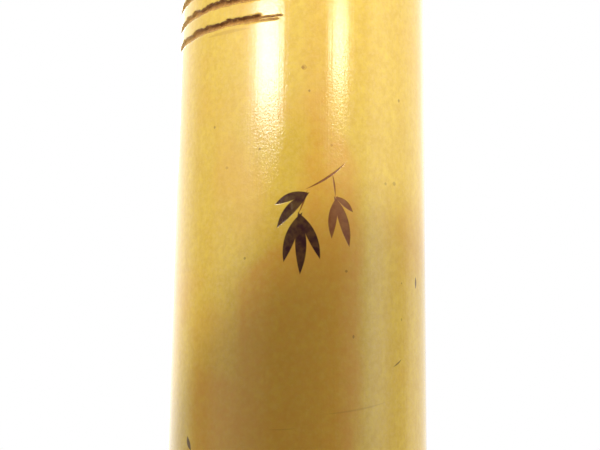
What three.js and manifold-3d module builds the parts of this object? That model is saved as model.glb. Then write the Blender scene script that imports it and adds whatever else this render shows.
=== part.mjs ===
// A two-piece end-blown bamboo flute of one shaku eight sun, standing on its root end.
// Millimetres, +Z up. Four finger holes face -Y and the thumb hole faces +Y.
// The origin is the middle of the root end. The bore's axis stands ROOT_BEND behind it,
// because the root end bends forward while the bore stays straight.
import * as THREE from "three";
import { mergeVertices } from "three/addons/utils/BufferGeometryUtils.js";
import Module from "manifold-3d";

const wasm = await Module();
wasm.setup();

// Overall sizes
const LENGTH = 545;
const JOINT_HEIGHT_SHARE = 0.478;
const ROOT_BEND = 5;
const ROOT_BEND_HEIGHT = 140;

// Clearances: a glued seat, the sliding tenon, the faces that meet at the joint, and cuts
const SEAT_GAP = 0.3;
const TENON_CLEARANCE = 0.2;
const PARTING_GAP = 0.2;
const CUT_OVERRUN = 4;
const MERGE_DISTANCE = 0.0001;

// Bore radii, from the mouth down to the bell
const BORE_MOUTH_RADIUS = 9.8;
const BORE_JOINT_RADIUS = 8.8;
const BORE_THROAT_RADIUS = 8;
const BORE_BELL_RADIUS = 8.9;
const BORE_THROAT_HEIGHT = 110;

// Walls, from the bore outwards
const LINING_WALL = 1.2;
const CULM_WALL = 7;
const TENON_LINING_WALL = 0.8;
const TENON_WALL = 2.3;
const SOCKET_LINING_WALL = 0.6;

// The culm's outside: a slight narrowing, the root's spread, rounded ends and its nodes
const TOP_NARROWING = 0.8;
const ROOT_SPREAD = 8;
const ROOT_SPREAD_HEIGHT = 110;
const ROOT_SPREAD_POWER = 2.2;
const ROOT_EDGE_ROUND = 2.4;
const MOUTH_EDGE_ROUND = 1.6;
const NODE_RIDGE = 0.9;
const NODE_RIDGE_HALF_WIDTH = 2.2;
const SHEATH_SCAR_DEPTH = 0.5;
const SHEATH_SCAR_HALF_WIDTH = 0.6;
const SHEATH_SCAR_DROP = 2.8;
const ROOT_NODE_SHARES = [0.13, 0.29, 0.49];
const STEM_NODE_SHARES = [0.18, 0.374, 0.633, 0.961];

// Finger holes, numbered from the root end: heights as shares of the length
const FINGER_HOLE_RADIUS = 5;
const NARROW_HOLE_RADIUS = 4.7;
const FINGER_HOLE_SHARES = [0.221, 0.32, 0.42, 0.519];
const THUMB_HOLE_SHARE = 0.58;

// Mouthpiece: the oblique cut, its horn inlay and the chin bevel behind it
const EDGE_DROP = 3;
const EDGE_SLOPE_DEGREES = 38;
const INLAY_EDGE_WIDTH = 17;
const INLAY_FOOT_WIDTH = 9;
const INLAY_HEIGHT = 8.5;
const INLAY_DEPTH = 3;
const CHIN_BEVEL = 3.5;
const CHIN_SLOPE_DEGREES = 50;

// Middle joint: the tenon, a ring on each end and a winding of split rattan beside each ring
const TENON_FREE_LENGTH = 22;
const TENON_GLUED_LENGTH = 34;
const TENON_TIP_CHAMFER = 0.8;
const RING_WIDTH = 1.8;
const RING_WALL = 1.2;
const RING_STANDS_PROUD = 0.15;
const RING_TO_WINDING = 1;
const WINDING_TO_HOLE = 3;
const STRIP_WIDTH = 1.6;
const STRIP_THICKNESS = 0.9;
const STRIP_CROWN = 0.35;
const STRIP_STANDS_PROUD = 0.25;
const WINDING_PITCH = 2.1;
const LEAST_WINDING_TURNS = 2;

// Shallow grooves cut part of the way round the lower section, past its right-hand side
const GROOVE_COUNT = 3;
const GROOVE_PITCH = 2.7;
const GROOVE_WIDTH = 1.4;
const GROOVE_FLOOR_WIDTH = 0.5;
const GROOVE_DEPTH = 0.5;
const GROOVES_BELOW_NODE = 13.8;
const GROOVE_START_DEGREES = 82;
const GROOVE_END_DEGREES = -70;
const GROOVE_STAGGER_DEGREES = 3.5;
const GROOVE_TAPER_SHARE = 0.15;
const GROOVE_TIP_SHARE = 0.04;

// How finely round things are divided
const CULM_SIDES = 40;
const LINING_SIDES = 32;
const HOLE_SIDES = 24;
const EDGE_STEPS = 3;
const TURN_STEPS = 24;
const GROOVE_STEPS = 24;
const ROW_SPACING = 24;

const FINISHES = {
  bamboo: { color: 0xd9b45f, roughness: 0.3, metalness: 0 },
  lacquer: { color: 0x8c1f14, roughness: 0.15, metalness: 0 },
  horn: { color: 0x17120f, roughness: 0.2, metalness: 0 },
  tenon: { color: 0x3a1d10, roughness: 0.35, metalness: 0 },
  silver: { color: 0xc9c6bf, roughness: 0.25, metalness: 1 },
  rattan: { color: 0x5a2d17, roughness: 0.35, metalness: 0 },
};

// Radii that follow from the walls
const liningRadius = BORE_MOUTH_RADIUS + LINING_WALL;
const culmSeatRadius = liningRadius + SEAT_GAP;
const internodeRadius = culmSeatRadius + CULM_WALL;
const tenonLiningRadius = BORE_JOINT_RADIUS + TENON_LINING_WALL;
const tenonInnerRadius = tenonLiningRadius + SEAT_GAP;
const tenonRadius = tenonInnerRadius + TENON_WALL;
const tenonSeatRadius = tenonRadius + SEAT_GAP;
const socketRadius = tenonRadius + TENON_CLEARANCE;
const socketLiningRadius = socketRadius + SOCKET_LINING_WALL;
const socketSeatRadius = socketLiningRadius + SEAT_GAP;

// Heights of the joint, and of what it carries
const jointHeight = JOINT_HEIGHT_SHARE * LENGTH;
const lowerTop = jointHeight - PARTING_GAP / 2;
const upperBottom = jointHeight + PARTING_GAP / 2;
const tenonBottom = jointHeight - TENON_FREE_LENGTH;
const tenonTop = jointHeight + TENON_GLUED_LENGTH;
const socketBottom = tenonBottom - SEAT_GAP;
const socketFloorBottom = socketBottom - SOCKET_LINING_WALL;

const rootNodes = ROOT_NODE_SHARES.map((share) => share * ROOT_SPREAD_HEIGHT);
const stemNodes = STEM_NODE_SHARES.map((share) => share * LENGTH);
const nodeHeights = [...rootNodes, ...stemNodes];
const grooveHeight = stemNodes[1] - GROOVES_BELOW_NODE;

const fingerHoles = FINGER_HOLE_SHARES.map((share, place) => ({
  height: share * LENGTH,
  radius: place === 2 ? NARROW_HOLE_RADIUS : FINGER_HOLE_RADIUS,
  side: -1,
}));
const thumbHole = { height: THUMB_HOLE_SHARE * LENGTH, radius: FINGER_HOLE_RADIUS, side: 1 };
const holes = [...fingerHoles, thumbHole];

// The winding takes as many turns as fit between the ring and the hole beyond it
const ringRebate = RING_WIDTH + SEAT_GAP;
const channelStart = ringRebate + RING_TO_WINDING;
const upperHole = fingerHoles[3];
const windingRoom = upperHole.height - upperHole.radius - WINDING_TO_HOLE - upperBottom - channelStart;
const turnsThatFit = Math.floor((windingRoom - 2 * SEAT_GAP - STRIP_WIDTH) / WINDING_PITCH);
const windingTurns = Math.max(LEAST_WINDING_TURNS, turnsThatFit);
const windingLength = windingTurns * WINDING_PITCH + STRIP_WIDTH;
const channelLength = windingLength + 2 * SEAT_GAP;

const jointRadius = culmRadius(jointHeight);
const stripOuterRadius = jointRadius + STRIP_STANDS_PROUD;
const stripInnerRadius = stripOuterRadius - STRIP_THICKNESS;
const channelRadius = stripInnerRadius - SEAT_GAP;
const ringOuterRadius = jointRadius + RING_STANDS_PROUD;
const ringInnerRadius = ringOuterRadius - RING_WALL;
const rebateRadius = ringInnerRadius - SEAT_GAP;

// The culm's radius at a height, with the root's spread and each node's scar and ridge
function culmRadius(height) {
  const spreadShare = Math.max(0, 1 - height / ROOT_SPREAD_HEIGHT);
  const spread = ROOT_SPREAD * spreadShare ** ROOT_SPREAD_POWER;
  let radius = internodeRadius + spread - (TOP_NARROWING * height) / LENGTH;
  for (const node of nodeHeights) {
    radius += bulge(NODE_RIDGE, height - node, NODE_RIDGE_HALF_WIDTH);
    radius -= bulge(SHEATH_SCAR_DEPTH, height - node + SHEATH_SCAR_DROP, SHEATH_SCAR_HALF_WIDTH);
  }
  return radius;
}

function bulge(size, distance, halfWidth) {
  return size * Math.exp(-((distance / halfWidth) ** 2));
}

// How far behind the origin the middle of the culm's outside lies at a height
function setback(height) {
  const share = Math.max(0, 1 - height / ROOT_BEND_HEIGHT);
  return ROOT_BEND * (1 - share * share);
}

function boreRadius(height) {
  const places = [
    [0, BORE_BELL_RADIUS],
    [BORE_THROAT_HEIGHT, BORE_THROAT_RADIUS],
    [jointHeight, BORE_JOINT_RADIUS],
    [LENGTH, BORE_MOUTH_RADIUS],
  ];
  const next = places.findIndex(([place]) => place > height);
  if (next === 0) return BORE_BELL_RADIUS;
  if (next < 0) return BORE_MOUTH_RADIUS;
  const [low, lowRadius] = places[next - 1];
  const [high, highRadius] = places[next];
  return THREE.MathUtils.mapLinear(height, low, high, lowRadius, highRadius);
}

// How far a rounded edge draws the wall in, at a distance from the end that it rounds
function edgeInset(distance, round) {
  if (distance >= round) return 0;
  return round - Math.sqrt(round ** 2 - (round - distance) ** 2);
}

function edgeRows(end, away, round) {
  const rows = [];
  for (let step = 0; step <= EDGE_STEPS; step++) {
    const turn = (Math.PI / 2) * (step / EDGE_STEPS);
    rows.push(end + away * round * (1 - Math.cos(turn)));
  }
  return rows;
}

// A closed three.js geometry as a solid that can be cut and joined
function toSolid(geometry) {
  const bare = geometry.clone();
  bare.deleteAttribute("normal");
  bare.deleteAttribute("uv");
  const merged = mergeVertices(bare, MERGE_DISTANCE);
  const corners = merged.index.array;
  const kept = [];
  for (let i = 0; i < corners.length; i += 3) {
    const [a, b, c] = [corners[i], corners[i + 1], corners[i + 2]];
    if (a !== b && b !== c && c !== a) kept.push(a, b, c);
  }
  const vertProperties = merged.attributes.position.array;
  const triVerts = new Uint32Array(kept);
  return new wasm.Manifold(new wasm.Mesh({ numProp: 3, vertProperties, triVerts }));
}

function toGeometry(solid) {
  const { vertProperties, triVerts } = solid.getMesh();
  const geometry = new THREE.BufferGeometry();
  geometry.setAttribute("position", new THREE.BufferAttribute(vertProperties, 3));
  geometry.setIndex(new THREE.BufferAttribute(triVerts, 1));
  geometry.computeVertexNormals();
  return geometry;
}

// A profile of [radius, height] pairs turned about the bore's axis
function turned(profile, sides) {
  const points = profile.map(([radius, height]) => new THREE.Vector2(radius, height));
  const geometry = new THREE.LatheGeometry(points, sides);
  return geometry.rotateX(Math.PI / 2).translate(0, ROOT_BEND, 0);
}

function turnedSolid(rows, sides) {
  const [first, last] = [rows[0], rows[rows.length - 1]];
  return toSolid(turned([[0, first[1]], ...rows, [0, last[1]]], sides));
}

function tubeSolid(outerRows, innerRows, sides) {
  return toSolid(turned([...outerRows, ...[...innerRows].reverse(), outerRows[0]], sides));
}

// The bore between two heights, for linings and for what it passes through
function boreRows(bottom, top) {
  const turns = [BORE_THROAT_HEIGHT, jointHeight].filter((height) => height > bottom && height < top);
  return [bottom, ...turns, top].map((height) => [boreRadius(height), height]);
}

// Heights at which the culm's outside is drawn: evenly, and closer at nodes and rounded ends
function culmRowHeights(bottom, top) {
  const even = [];
  const count = Math.round((top - bottom) / ROW_SPACING);
  for (let step = 1; step < count; step++) even.push(bottom + ((top - bottom) * step) / count);
  const near = nodeHeights.flatMap((node) => [
    node - SHEATH_SCAR_DROP - SHEATH_SCAR_HALF_WIDTH,
    node - SHEATH_SCAR_DROP,
    node - SHEATH_SCAR_DROP + SHEATH_SCAR_HALF_WIDTH,
    node,
    node + NODE_RIDGE_HALF_WIDTH,
    node + 2 * NODE_RIDGE_HALF_WIDTH,
  ]);
  const isClear = (height) => near.every((row) => Math.abs(height - row) > NODE_RIDGE_HALF_WIDTH);
  const clear = even.filter(isClear);
  return [...clear, ...near].filter((height) => height > bottom && height < top);
}

// The culm's outside between two heights, solid, with its ends rounded and its root bent
function culmBlank(bottom, top, bottomRound, topRound) {
  const middle = culmRowHeights(bottom + bottomRound, top - topRound);
  const ends = [...edgeRows(bottom, 1, bottomRound), ...edgeRows(top, -1, topRound)];
  const heights = [...new Set([...ends, ...middle])].sort((a, b) => a - b);
  const rows = heights.map((height) => {
    const inset = edgeInset(height - bottom, bottomRound) + edgeInset(top - height, topRound);
    return [culmRadius(height) - inset, height];
  });
  const geometry = turned([[0, bottom], ...rows, [0, top]], CULM_SIDES);
  const place = geometry.attributes.position;
  for (let i = 0; i < place.count; i++) {
    place.setY(i, place.getY(i) - ROOT_BEND + setback(place.getZ(i)));
  }
  return toSolid(geometry);
}

// A straight hole from the bore's axis out through the wall
function holeCutter({ height, radius, side }) {
  const reach = internodeRadius + CUT_OVERRUN;
  const geometry = new THREE.CylinderGeometry(radius, radius, reach, HOLE_SIDES);
  return toSolid(geometry.translate(0, ROOT_BEND + (side * reach) / 2, height));
}

function withHoles(solid, chosen) {
  return chosen.reduce((left, hole) => left.subtract(holeCutter(hole)), solid);
}

// A band cut round the culm's end, for a ring or a winding, measured from that end
function bandCutter(end, away, start, length, radius) {
  const [low, high] = [end + away * start, end + away * (start + length)].sort((a, b) => a - b);
  const outer = internodeRadius + CUT_OVERRUN;
  const rows = (size) => [[size, low], [size, high]];
  return tubeSolid(rows(outer), rows(radius), CULM_SIDES);
}

function withJointBands(culm, end, away) {
  const rebate = bandCutter(end, away, -CUT_OVERRUN, ringRebate + CUT_OVERRUN, rebateRadius);
  const channel = bandCutter(end, away, channelStart, channelLength, channelRadius);
  return culm.subtract(rebate).subtract(channel);
}

// A band swept round the bore's axis. Each station is an angle and a closed outline of
// [radius, height] points, in the same order all the way round.
function sweptGeometry(stations) {
  const size = stations[0].outline.length;
  const places = stations.flatMap(({ angle, outline }) =>
    outline.flatMap(([radius, height]) => [
      radius * Math.cos(angle),
      ROOT_BEND + radius * Math.sin(angle),
      height,
    ]),
  );
  const faces = [];
  for (let station = 1; station < stations.length; station++) {
    for (let side = 0; side < size; side++) {
      const next = (side + 1) % size;
      const [a, b] = [(station - 1) * size + side, (station - 1) * size + next];
      const [c, d] = [station * size + next, station * size + side];
      faces.push(a, c, b, a, d, c);
    }
  }
  const lastStart = (stations.length - 1) * size;
  for (let side = 1; side < size - 1; side++) {
    faces.push(0, side, side + 1);
    faces.push(lastStart, lastStart + side + 1, lastStart + side);
  }
  const geometry = new THREE.BufferGeometry();
  geometry.setAttribute("position", new THREE.Float32BufferAttribute(places, 3));
  geometry.setIndex(faces);
  return geometry;
}

// One groove: full depth along its middle, running out to a fine tip at both ends
function grooveCutter(place) {
  const start = THREE.MathUtils.degToRad(GROOVE_START_DEGREES - place * GROOVE_STAGGER_DEGREES);
  const end = THREE.MathUtils.degToRad(GROOVE_END_DEGREES + place * GROOVE_STAGGER_DEGREES);
  const height = grooveHeight + place * GROOVE_PITCH;
  const surface = culmRadius(height);
  const stations = [];
  for (let step = 0; step <= GROOVE_STEPS; step++) {
    const share = step / GROOVE_STEPS;
    const fromTip = Math.min(share, 1 - share) / GROOVE_TAPER_SHARE;
    const strength = THREE.MathUtils.clamp(fromTip, GROOVE_TIP_SHARE, 1);
    const halfWidth = (GROOVE_WIDTH / 2) * strength;
    const halfFloor = (GROOVE_FLOOR_WIDTH / 2) * strength;
    const floor = surface - GROOVE_DEPTH * strength;
    stations.push({
      angle: THREE.MathUtils.lerp(end, start, share),
      outline: [
        [floor, height - halfFloor],
        [surface, height - halfWidth],
        [surface + CUT_OVERRUN, height - halfWidth],
        [surface + CUT_OVERRUN, height + halfWidth],
        [surface, height + halfWidth],
        [floor, height + halfFloor],
      ],
    });
  }
  return toSolid(sweptGeometry(stations));
}

function withGrooves(culm) {
  let cut = culm;
  for (let place = 0; place < GROOVE_COUNT; place++) cut = cut.subtract(grooveCutter(place));
  return cut;
}

// Places a solid on a plane through the flute's wall that leans away from upright: X stays,
// local Y runs up the slope and local Z points out of the wall
function onSlope(geometry, side, distance, height, slopeDegrees) {
  const lean = THREE.MathUtils.degToRad(90 - slopeDegrees);
  const turn = new THREE.Matrix4().makeRotationX(lean);
  if (side > 0) turn.premultiply(new THREE.Matrix4().makeRotationZ(Math.PI));
  turn.setPosition(0, ROOT_BEND + side * distance, height);
  return geometry.applyMatrix4(turn);
}

function slopeCutter(side, distance, height, slopeDegrees) {
  const size = 2 * (internodeRadius + CUT_OVERRUN);
  const block = new THREE.BoxGeometry(size, size, size).translate(0, 0, size / 2);
  return toSolid(onSlope(block, side, distance, height, slopeDegrees));
}

const edgeCutter = slopeCutter(-1, BORE_MOUTH_RADIUS, LENGTH - EDGE_DROP, EDGE_SLOPE_DEGREES);
const chinDistance = culmRadius(LENGTH);
const chinCutter = slopeCutter(1, chinDistance, LENGTH - CHIN_BEVEL, CHIN_SLOPE_DEGREES);

// The horn's block: wide at the blowing edge and narrow at its foot, let into the slope
function inlayBlock(gap) {
  const halfEdge = INLAY_EDGE_WIDTH / 2 + gap;
  const halfFoot = INLAY_FOOT_WIDTH / 2 + gap;
  const foot = -INLAY_HEIGHT - gap;
  const above = EDGE_DROP + CUT_OVERRUN;
  const outline = new THREE.Shape([
    new THREE.Vector2(-halfFoot, foot),
    new THREE.Vector2(halfFoot, foot),
    new THREE.Vector2(halfEdge, 0),
    new THREE.Vector2(halfEdge, above),
    new THREE.Vector2(-halfEdge, above),
    new THREE.Vector2(-halfEdge, 0),
  ]);
  const depth = INLAY_DEPTH + gap + CUT_OVERRUN;
  const block = new THREE.ExtrudeGeometry(outline, { depth, bevelEnabled: false, steps: 1 });
  block.translate(0, 0, -INLAY_DEPTH - gap);
  return toSolid(onSlope(block, -1, BORE_MOUTH_RADIUS, LENGTH - EDGE_DROP, EDGE_SLOPE_DEGREES));
}

function mouthBoreCutter() {
  return turnedSolid(boreRows(tenonTop, LENGTH + CUT_OVERRUN), LINING_SIDES);
}

function lowerCulm() {
  const blank = culmBlank(0, lowerTop, ROOT_EDGE_ROUND, 0);
  const seat = turnedSolid(
    [
      [culmSeatRadius, -CUT_OVERRUN],
      [culmSeatRadius, socketFloorBottom - SEAT_GAP],
      [socketSeatRadius, socketFloorBottom - SEAT_GAP],
      [socketSeatRadius, lowerTop + CUT_OVERRUN],
    ],
    LINING_SIDES,
  );
  const hollow = withHoles(blank.subtract(seat), fingerHoles.slice(0, 3));
  return withGrooves(withJointBands(hollow, lowerTop, -1));
}

function lowerBoreLining() {
  const outer = [
    [liningRadius, SEAT_GAP],
    [liningRadius, socketFloorBottom],
    [socketLiningRadius, socketFloorBottom],
    [socketLiningRadius, lowerTop],
  ];
  const inner = [
    ...boreRows(SEAT_GAP, socketBottom),
    [socketRadius, socketBottom],
    [socketRadius, lowerTop],
  ];
  return withHoles(tubeSolid(outer, inner, LINING_SIDES), fingerHoles.slice(0, 3));
}

function upperCulm() {
  const blank = culmBlank(upperBottom, LENGTH, 0, MOUTH_EDGE_ROUND);
  const seat = turnedSolid(
    [
      [tenonSeatRadius, upperBottom - CUT_OVERRUN],
      [tenonSeatRadius, tenonTop + SEAT_GAP],
      [culmSeatRadius, tenonTop + SEAT_GAP],
      [culmSeatRadius, LENGTH + CUT_OVERRUN],
    ],
    LINING_SIDES,
  );
  const hollow = withHoles(blank.subtract(seat), [upperHole, thumbHole]);
  const banded = withJointBands(hollow, upperBottom, 1);
  return banded.subtract(edgeCutter).subtract(chinCutter).subtract(inlayBlock(SEAT_GAP));
}

function upperBoreLining() {
  const shoulder = tenonTop + SEAT_GAP;
  const outer = [
    [tenonLiningRadius, tenonBottom],
    [tenonLiningRadius, shoulder],
    [liningRadius, shoulder],
    [liningRadius, LENGTH],
  ];
  const tube = tubeSolid(outer, boreRows(tenonBottom, LENGTH), LINING_SIDES);
  return withHoles(tube, [upperHole, thumbHole]).subtract(edgeCutter).subtract(inlayBlock(SEAT_GAP));
}

function tenon() {
  const outer = [
    [tenonRadius - TENON_TIP_CHAMFER, tenonBottom],
    [tenonRadius, tenonBottom + TENON_TIP_CHAMFER],
    [tenonRadius, tenonTop],
  ];
  const inner = [
    [tenonInnerRadius, tenonBottom],
    [tenonInnerRadius, tenonTop],
  ];
  return withHoles(tubeSolid(outer, inner, LINING_SIDES), [upperHole]);
}

// The horn fills the wall between the bore and the slope, from the culm's own outline
function mouthpieceInlay() {
  const mouthEnd = culmBlank(upperBottom, LENGTH, 0, MOUTH_EDGE_ROUND);
  return inlayBlock(0).intersect(mouthEnd).subtract(mouthBoreCutter()).subtract(edgeCutter);
}

function jointRing(end, away) {
  const [low, high] = [end, end + away * RING_WIDTH].sort((a, b) => a - b);
  const rows = (radius) => [[radius, low], [radius, high]];
  return tubeSolid(rows(ringOuterRadius), rows(ringInnerRadius), CULM_SIDES);
}

// One strip of split rattan, flat inside and crowned outside, wound away from the ring
function windingStations(end, away) {
  const crown = stripOuterRadius - STRIP_CROWN;
  const half = STRIP_WIDTH / 2;
  const first = end + away * (channelStart + SEAT_GAP + half);
  const lowest = away > 0 ? first : first - windingTurns * WINDING_PITCH;
  const stations = [];
  for (let step = 0; step <= windingTurns * TURN_STEPS; step++) {
    const turns = step / TURN_STEPS;
    const height = lowest + turns * WINDING_PITCH;
    stations.push({
      angle: 2 * Math.PI * turns,
      outline: [
        [stripInnerRadius, height - half],
        [crown, height - half],
        [stripOuterRadius, height - half / 2],
        [stripOuterRadius, height + half / 2],
        [crown, height + half],
        [stripInnerRadius, height + half],
      ],
    });
  }
  return stations;
}

// The least distance between points of the strip that lie half a turn or more apart
function leastGap(stations) {
  const points = stations.map(({ angle, outline }) =>
    outline.map(([radius, height]) =>
      new THREE.Vector3(radius * Math.cos(angle), radius * Math.sin(angle), height),
    ),
  );
  let least = Infinity;
  points.forEach((here, place) => {
    for (const there of points.slice(place + TURN_STEPS / 2)) {
      for (const a of here) {
        for (const b of there) least = Math.min(least, a.distanceTo(b));
      }
    }
  });
  return least;
}

function jointWinding(name, end, away) {
  const stations = windingStations(end, away);
  console.log(`${name}: ${windingTurns} turns, least gap ${leastGap(stations).toFixed(2)} mm`);
  return toSolid(sweptGeometry(stations));
}

const pieces = [
  ["lower_culm", "bamboo", lowerCulm()],
  ["lower_bore_lining", "lacquer", lowerBoreLining()],
  ["lower_joint_ring", "silver", jointRing(lowerTop, -1)],
  ["lower_joint_winding", "rattan", jointWinding("lower_joint_winding", lowerTop, -1)],
  ["tenon", "tenon", tenon()],
  ["upper_joint_ring", "silver", jointRing(upperBottom, 1)],
  ["upper_joint_winding", "rattan", jointWinding("upper_joint_winding", upperBottom, 1)],
  ["upper_culm", "bamboo", upperCulm()],
  ["upper_bore_lining", "lacquer", upperBoreLining()],
  ["mouthpiece_inlay", "horn", mouthpieceInlay()],
];

const flute = new THREE.Group();
for (const [name, finish, solid] of pieces) {
  const mesh = new THREE.Mesh(toGeometry(solid), new THREE.MeshStandardMaterial(FINISHES[finish]));
  mesh.name = name;
  flute.add(mesh);
}

export default flute;
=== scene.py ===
"""A two-piece end-blown bamboo flute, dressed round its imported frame.

Metres, +Z up, finger holes towards -Y and the thumb hole towards +Y. The bore is straight and
stands AXIS_Y behind the origin, while the root end of the bamboo bends forward from it.
"""

import math

import bpy
import numpy as np
from bpy.props import FloatProperty, FloatVectorProperty, IntProperty, PointerProperty
from mathutils import Matrix, Vector


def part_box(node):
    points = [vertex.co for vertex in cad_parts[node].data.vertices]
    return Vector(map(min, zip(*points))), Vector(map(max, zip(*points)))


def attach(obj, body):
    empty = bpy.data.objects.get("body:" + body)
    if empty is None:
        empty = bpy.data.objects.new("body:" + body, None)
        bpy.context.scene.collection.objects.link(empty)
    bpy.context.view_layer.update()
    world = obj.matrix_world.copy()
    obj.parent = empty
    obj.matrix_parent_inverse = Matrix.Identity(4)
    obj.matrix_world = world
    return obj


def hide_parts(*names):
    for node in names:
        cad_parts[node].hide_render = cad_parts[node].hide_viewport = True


bl_info = {
    "name": "End-blown bamboo flute",
    "version": (1, 0, 0),
    "blender": (4, 5, 0),
    "location": "3D View > Sidebar > Flute",
    "description": "Builds the bamboo, bore lacquer, bands, bindings, tenon and horn of the flute",
    "category": "Object",
}

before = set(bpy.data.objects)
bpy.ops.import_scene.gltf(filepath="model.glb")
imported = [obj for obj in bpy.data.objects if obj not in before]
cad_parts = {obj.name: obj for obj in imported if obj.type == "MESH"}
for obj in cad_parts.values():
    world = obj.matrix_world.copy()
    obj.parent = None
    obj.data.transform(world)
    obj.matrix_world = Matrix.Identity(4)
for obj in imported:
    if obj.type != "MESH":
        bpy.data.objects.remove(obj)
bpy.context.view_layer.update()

MM = 0.001
DEGREE = math.pi / 180
TURN = 2 * math.pi
BACK = math.pi / 2


def box_radius(node):
    """Half the width of a node's box."""
    low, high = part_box(node)
    return (high.x - low.x) / 2


# Places that the frame gives
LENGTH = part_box("upper_culm")[1].z
LOWER_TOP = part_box("lower_culm")[1].z
UPPER_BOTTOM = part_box("upper_culm")[0].z
JOINT = (LOWER_TOP + UPPER_BOTTOM) / 2
TENON_LOW, TENON_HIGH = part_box("tenon")
TENON_RADIUS = box_radius("tenon")
RING_LOW, RING_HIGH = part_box("upper_joint_ring")
RING_RADIUS = box_radius("upper_joint_ring")
AXIS_Y = (RING_LOW.y + RING_HIGH.y) / 2

# Heights along the culm, as shares of the root's spread and of the length
ROOT_NODE_SHARES = (0.13, 0.29, 0.49)
STEM_NODE_SHARES = (0.18, 0.374, 0.633, 0.961)
FINGER_HOLE_SHARES = (0.221, 0.32, 0.42, 0.519)
THUMB_HOLE_SHARE = 0.58

# The holes by their place from the root end: how many the lower section has, the narrower one, and
# the ones that pass through the tenon too
LOWER_HOLES = 3
NARROW_HOLE = 2
TENON_HOLES = slice(3, 4)

# How finely the meshes are divided: columns round the culm, sides of turned pieces and holes, steps
# of rounded edges, and heights from one row to the next
FINE_COLUMNS = 480
PLAIN_COLUMNS = 240
TURNED_SIDES = 192
HOLE_SIDES = 96
ARC_STEPS = 8
ROW_STEP = 1.0 * MM
ROOT_ROW_STEP = 0.4 * MM
NODE_ROW_STEP = 0.22 * MM
GROOVE_ROW_STEP = 0.12 * MM
WALL_ROW_STEP = 8 * MM
LAST_ROW_SHARE = 1.4
STRIP_STEPS = 96
CROWN_STEPS = 10
END_FACE_SHARES = (0.25, 0.5, 0.75)

# The finely divided stretch of skin: how far it reaches below and above the grooves, and how far
# above the uppermost root node
FINE_BELOW_GROOVES = 56 * MM
FINE_ABOVE_GROOVES = 3 * MM
FINE_ABOVE_ROOT = 8 * MM

# A face is skin where it lies this near to the culm's outside, is turned this far outwards and is
# past this share of a hole's rim
SKIN_DEPTH = 0.35 * MM
SKIN_LEAN = 0.15
RIM_SHARE = 0.74

# The joint's lacquered channels reach this many band walls in from the band's outside, and this
# little past their ends
CHANNEL_SHARE = 1.5
HAIR = 0.01 * MM

# Edges sharper than this many degrees are not shaded smooth
SHARP = 32
RATTAN_SHARP = 50

# Hole cutters: how far over its rim a hole is rounded, how far from the bore's axis a cutter starts
# for its radius, and how far it runs on and narrows outside the culm
RIM_ARC = 78 * DEGREE
HOLE_START_SHARE = 0.4
HOLE_OVERRUN = 3 * MM
HOLE_TAPER_SHARE = 0.6

# Other cuts run on by this many times their own size, and half a block that cuts a slope
OVERRUN = 3
BLOCK_SIZE = 60 * MM

# The share of a strip that the first and last turn of rattan are pared to, and how its crown bends
PARED_SHARE = 0.1
CROWN_POWER = 4

# How much of the culm's top and of its bore the horn is fitted to
HORN_CULM = 20 * MM
HORN_BORE = 30 * MM

# The back of the lower section is unrolled at this radius, and a stroke's edge blurred this far,
# both in millimetres
UNROLL_RADIUS = 18.06
STROKE_BLUR = 0.06

# Marks in the skin, the leaf ornament and its thin lines, in millimetres round from the back's
# middle and up: each row is where a stroke starts, its degrees, length, width and bend, and the
# marks of a kind come after their colour and how much of it they take
MARKS = {
    "dark": (
        "scar", 0.85,
        [
            (13.15, 145.6, 29, 1.9, 0.16, 0.05), (-16.4, 136.4, -62, 1.9, 0.7, 0.1),
            (18.6, 155.7, 90, 1.6, 0.5, 0.1),
        ],
    ),
    "faint": (
        "cut_dark", 0.5,
        [
            (-0.05, 183.22, 0, 0.4, 0.42, 0), (0.82, 180.2, 0, 0.32, 0.32, 0),
            (14.1, 180.5, 0, 0.44, 0.46, 0), (-12.5, 176.3, 0, 0.38, 0.36, 0),
            (-5.5, 172.8, 0, 0.38, 0.36, 0), (-7.25, 159.0, 0, 0.36, 0.36, 0),
            (5.7, 157.5, 0, 0.42, 0.34, 0), (14.7, 156.3, 0, 0.28, 0.26, 0),
            (14.8, 151.4, 90, 0.45, 0.24, 0), (6.9, 149.2, 90, 0.5, 0.28, 0),
        ],
    ),
    "red": (
        "skin_root", 0.45,
        [
            (-0.12, 183.25, 0, 0.8, 0.74, 0), (3.7, 173.3, 0, 0.4, 0.36, 0),
            (-10.3, 170.7, 0, 0.5, 0.42, 0),
        ],
    ),
    "olive": (
        "cut_dark", 0.35,
        [
            (11.5, 169.0, 0, 0.45, 0.4, 0), (13.0, 169.2, 0, 0.65, 0.55, 0),
        ],
    ),
    "scratch": (
        "skin_root", 0.3,
        [
            (-14.4, 188.85, 0, 7.6, 0.5, 0), (3.2, 140.0, 8, 8.9, 0.22, 0.15),
            (-3.4, 138.2, 4, 3.1, 0.15, 0.05),
        ],
    ),
}
ORNAMENT_MIDDLE = (1.48, 164.0)
LEAVES = [
    (-0.6, 3.4, 200, 4.4, 1.0, 0.25), (-0.6, 3.4, 228, 6.0, 1.25, 0.3),
    (-1.5, 0.8, 250, 6.6, 1.3, 0.3), (-1.5, 0.8, 272, 7.8, 1.4, -0.2),
    (-1.5, 0.8, 296, 6.4, 1.2, -0.3),
]
LEAF_LINES = [
    (-0.6, 3.4, 35, 6.1, 0.28, 0.3), (-1.6, 0.6, 70, 3.0, 0.22, 0.05),
    (3.0, 2.76, 98, 2.9, 0.2, 0.08), (3.0, 2.9, 262, 5.4, 1.1, 0.25),
    (3.0, 2.9, 288, 6.6, 1.25, -0.25), (3.0, 2.9, 322, 3.0, 0.8, -0.15),
]

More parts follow.
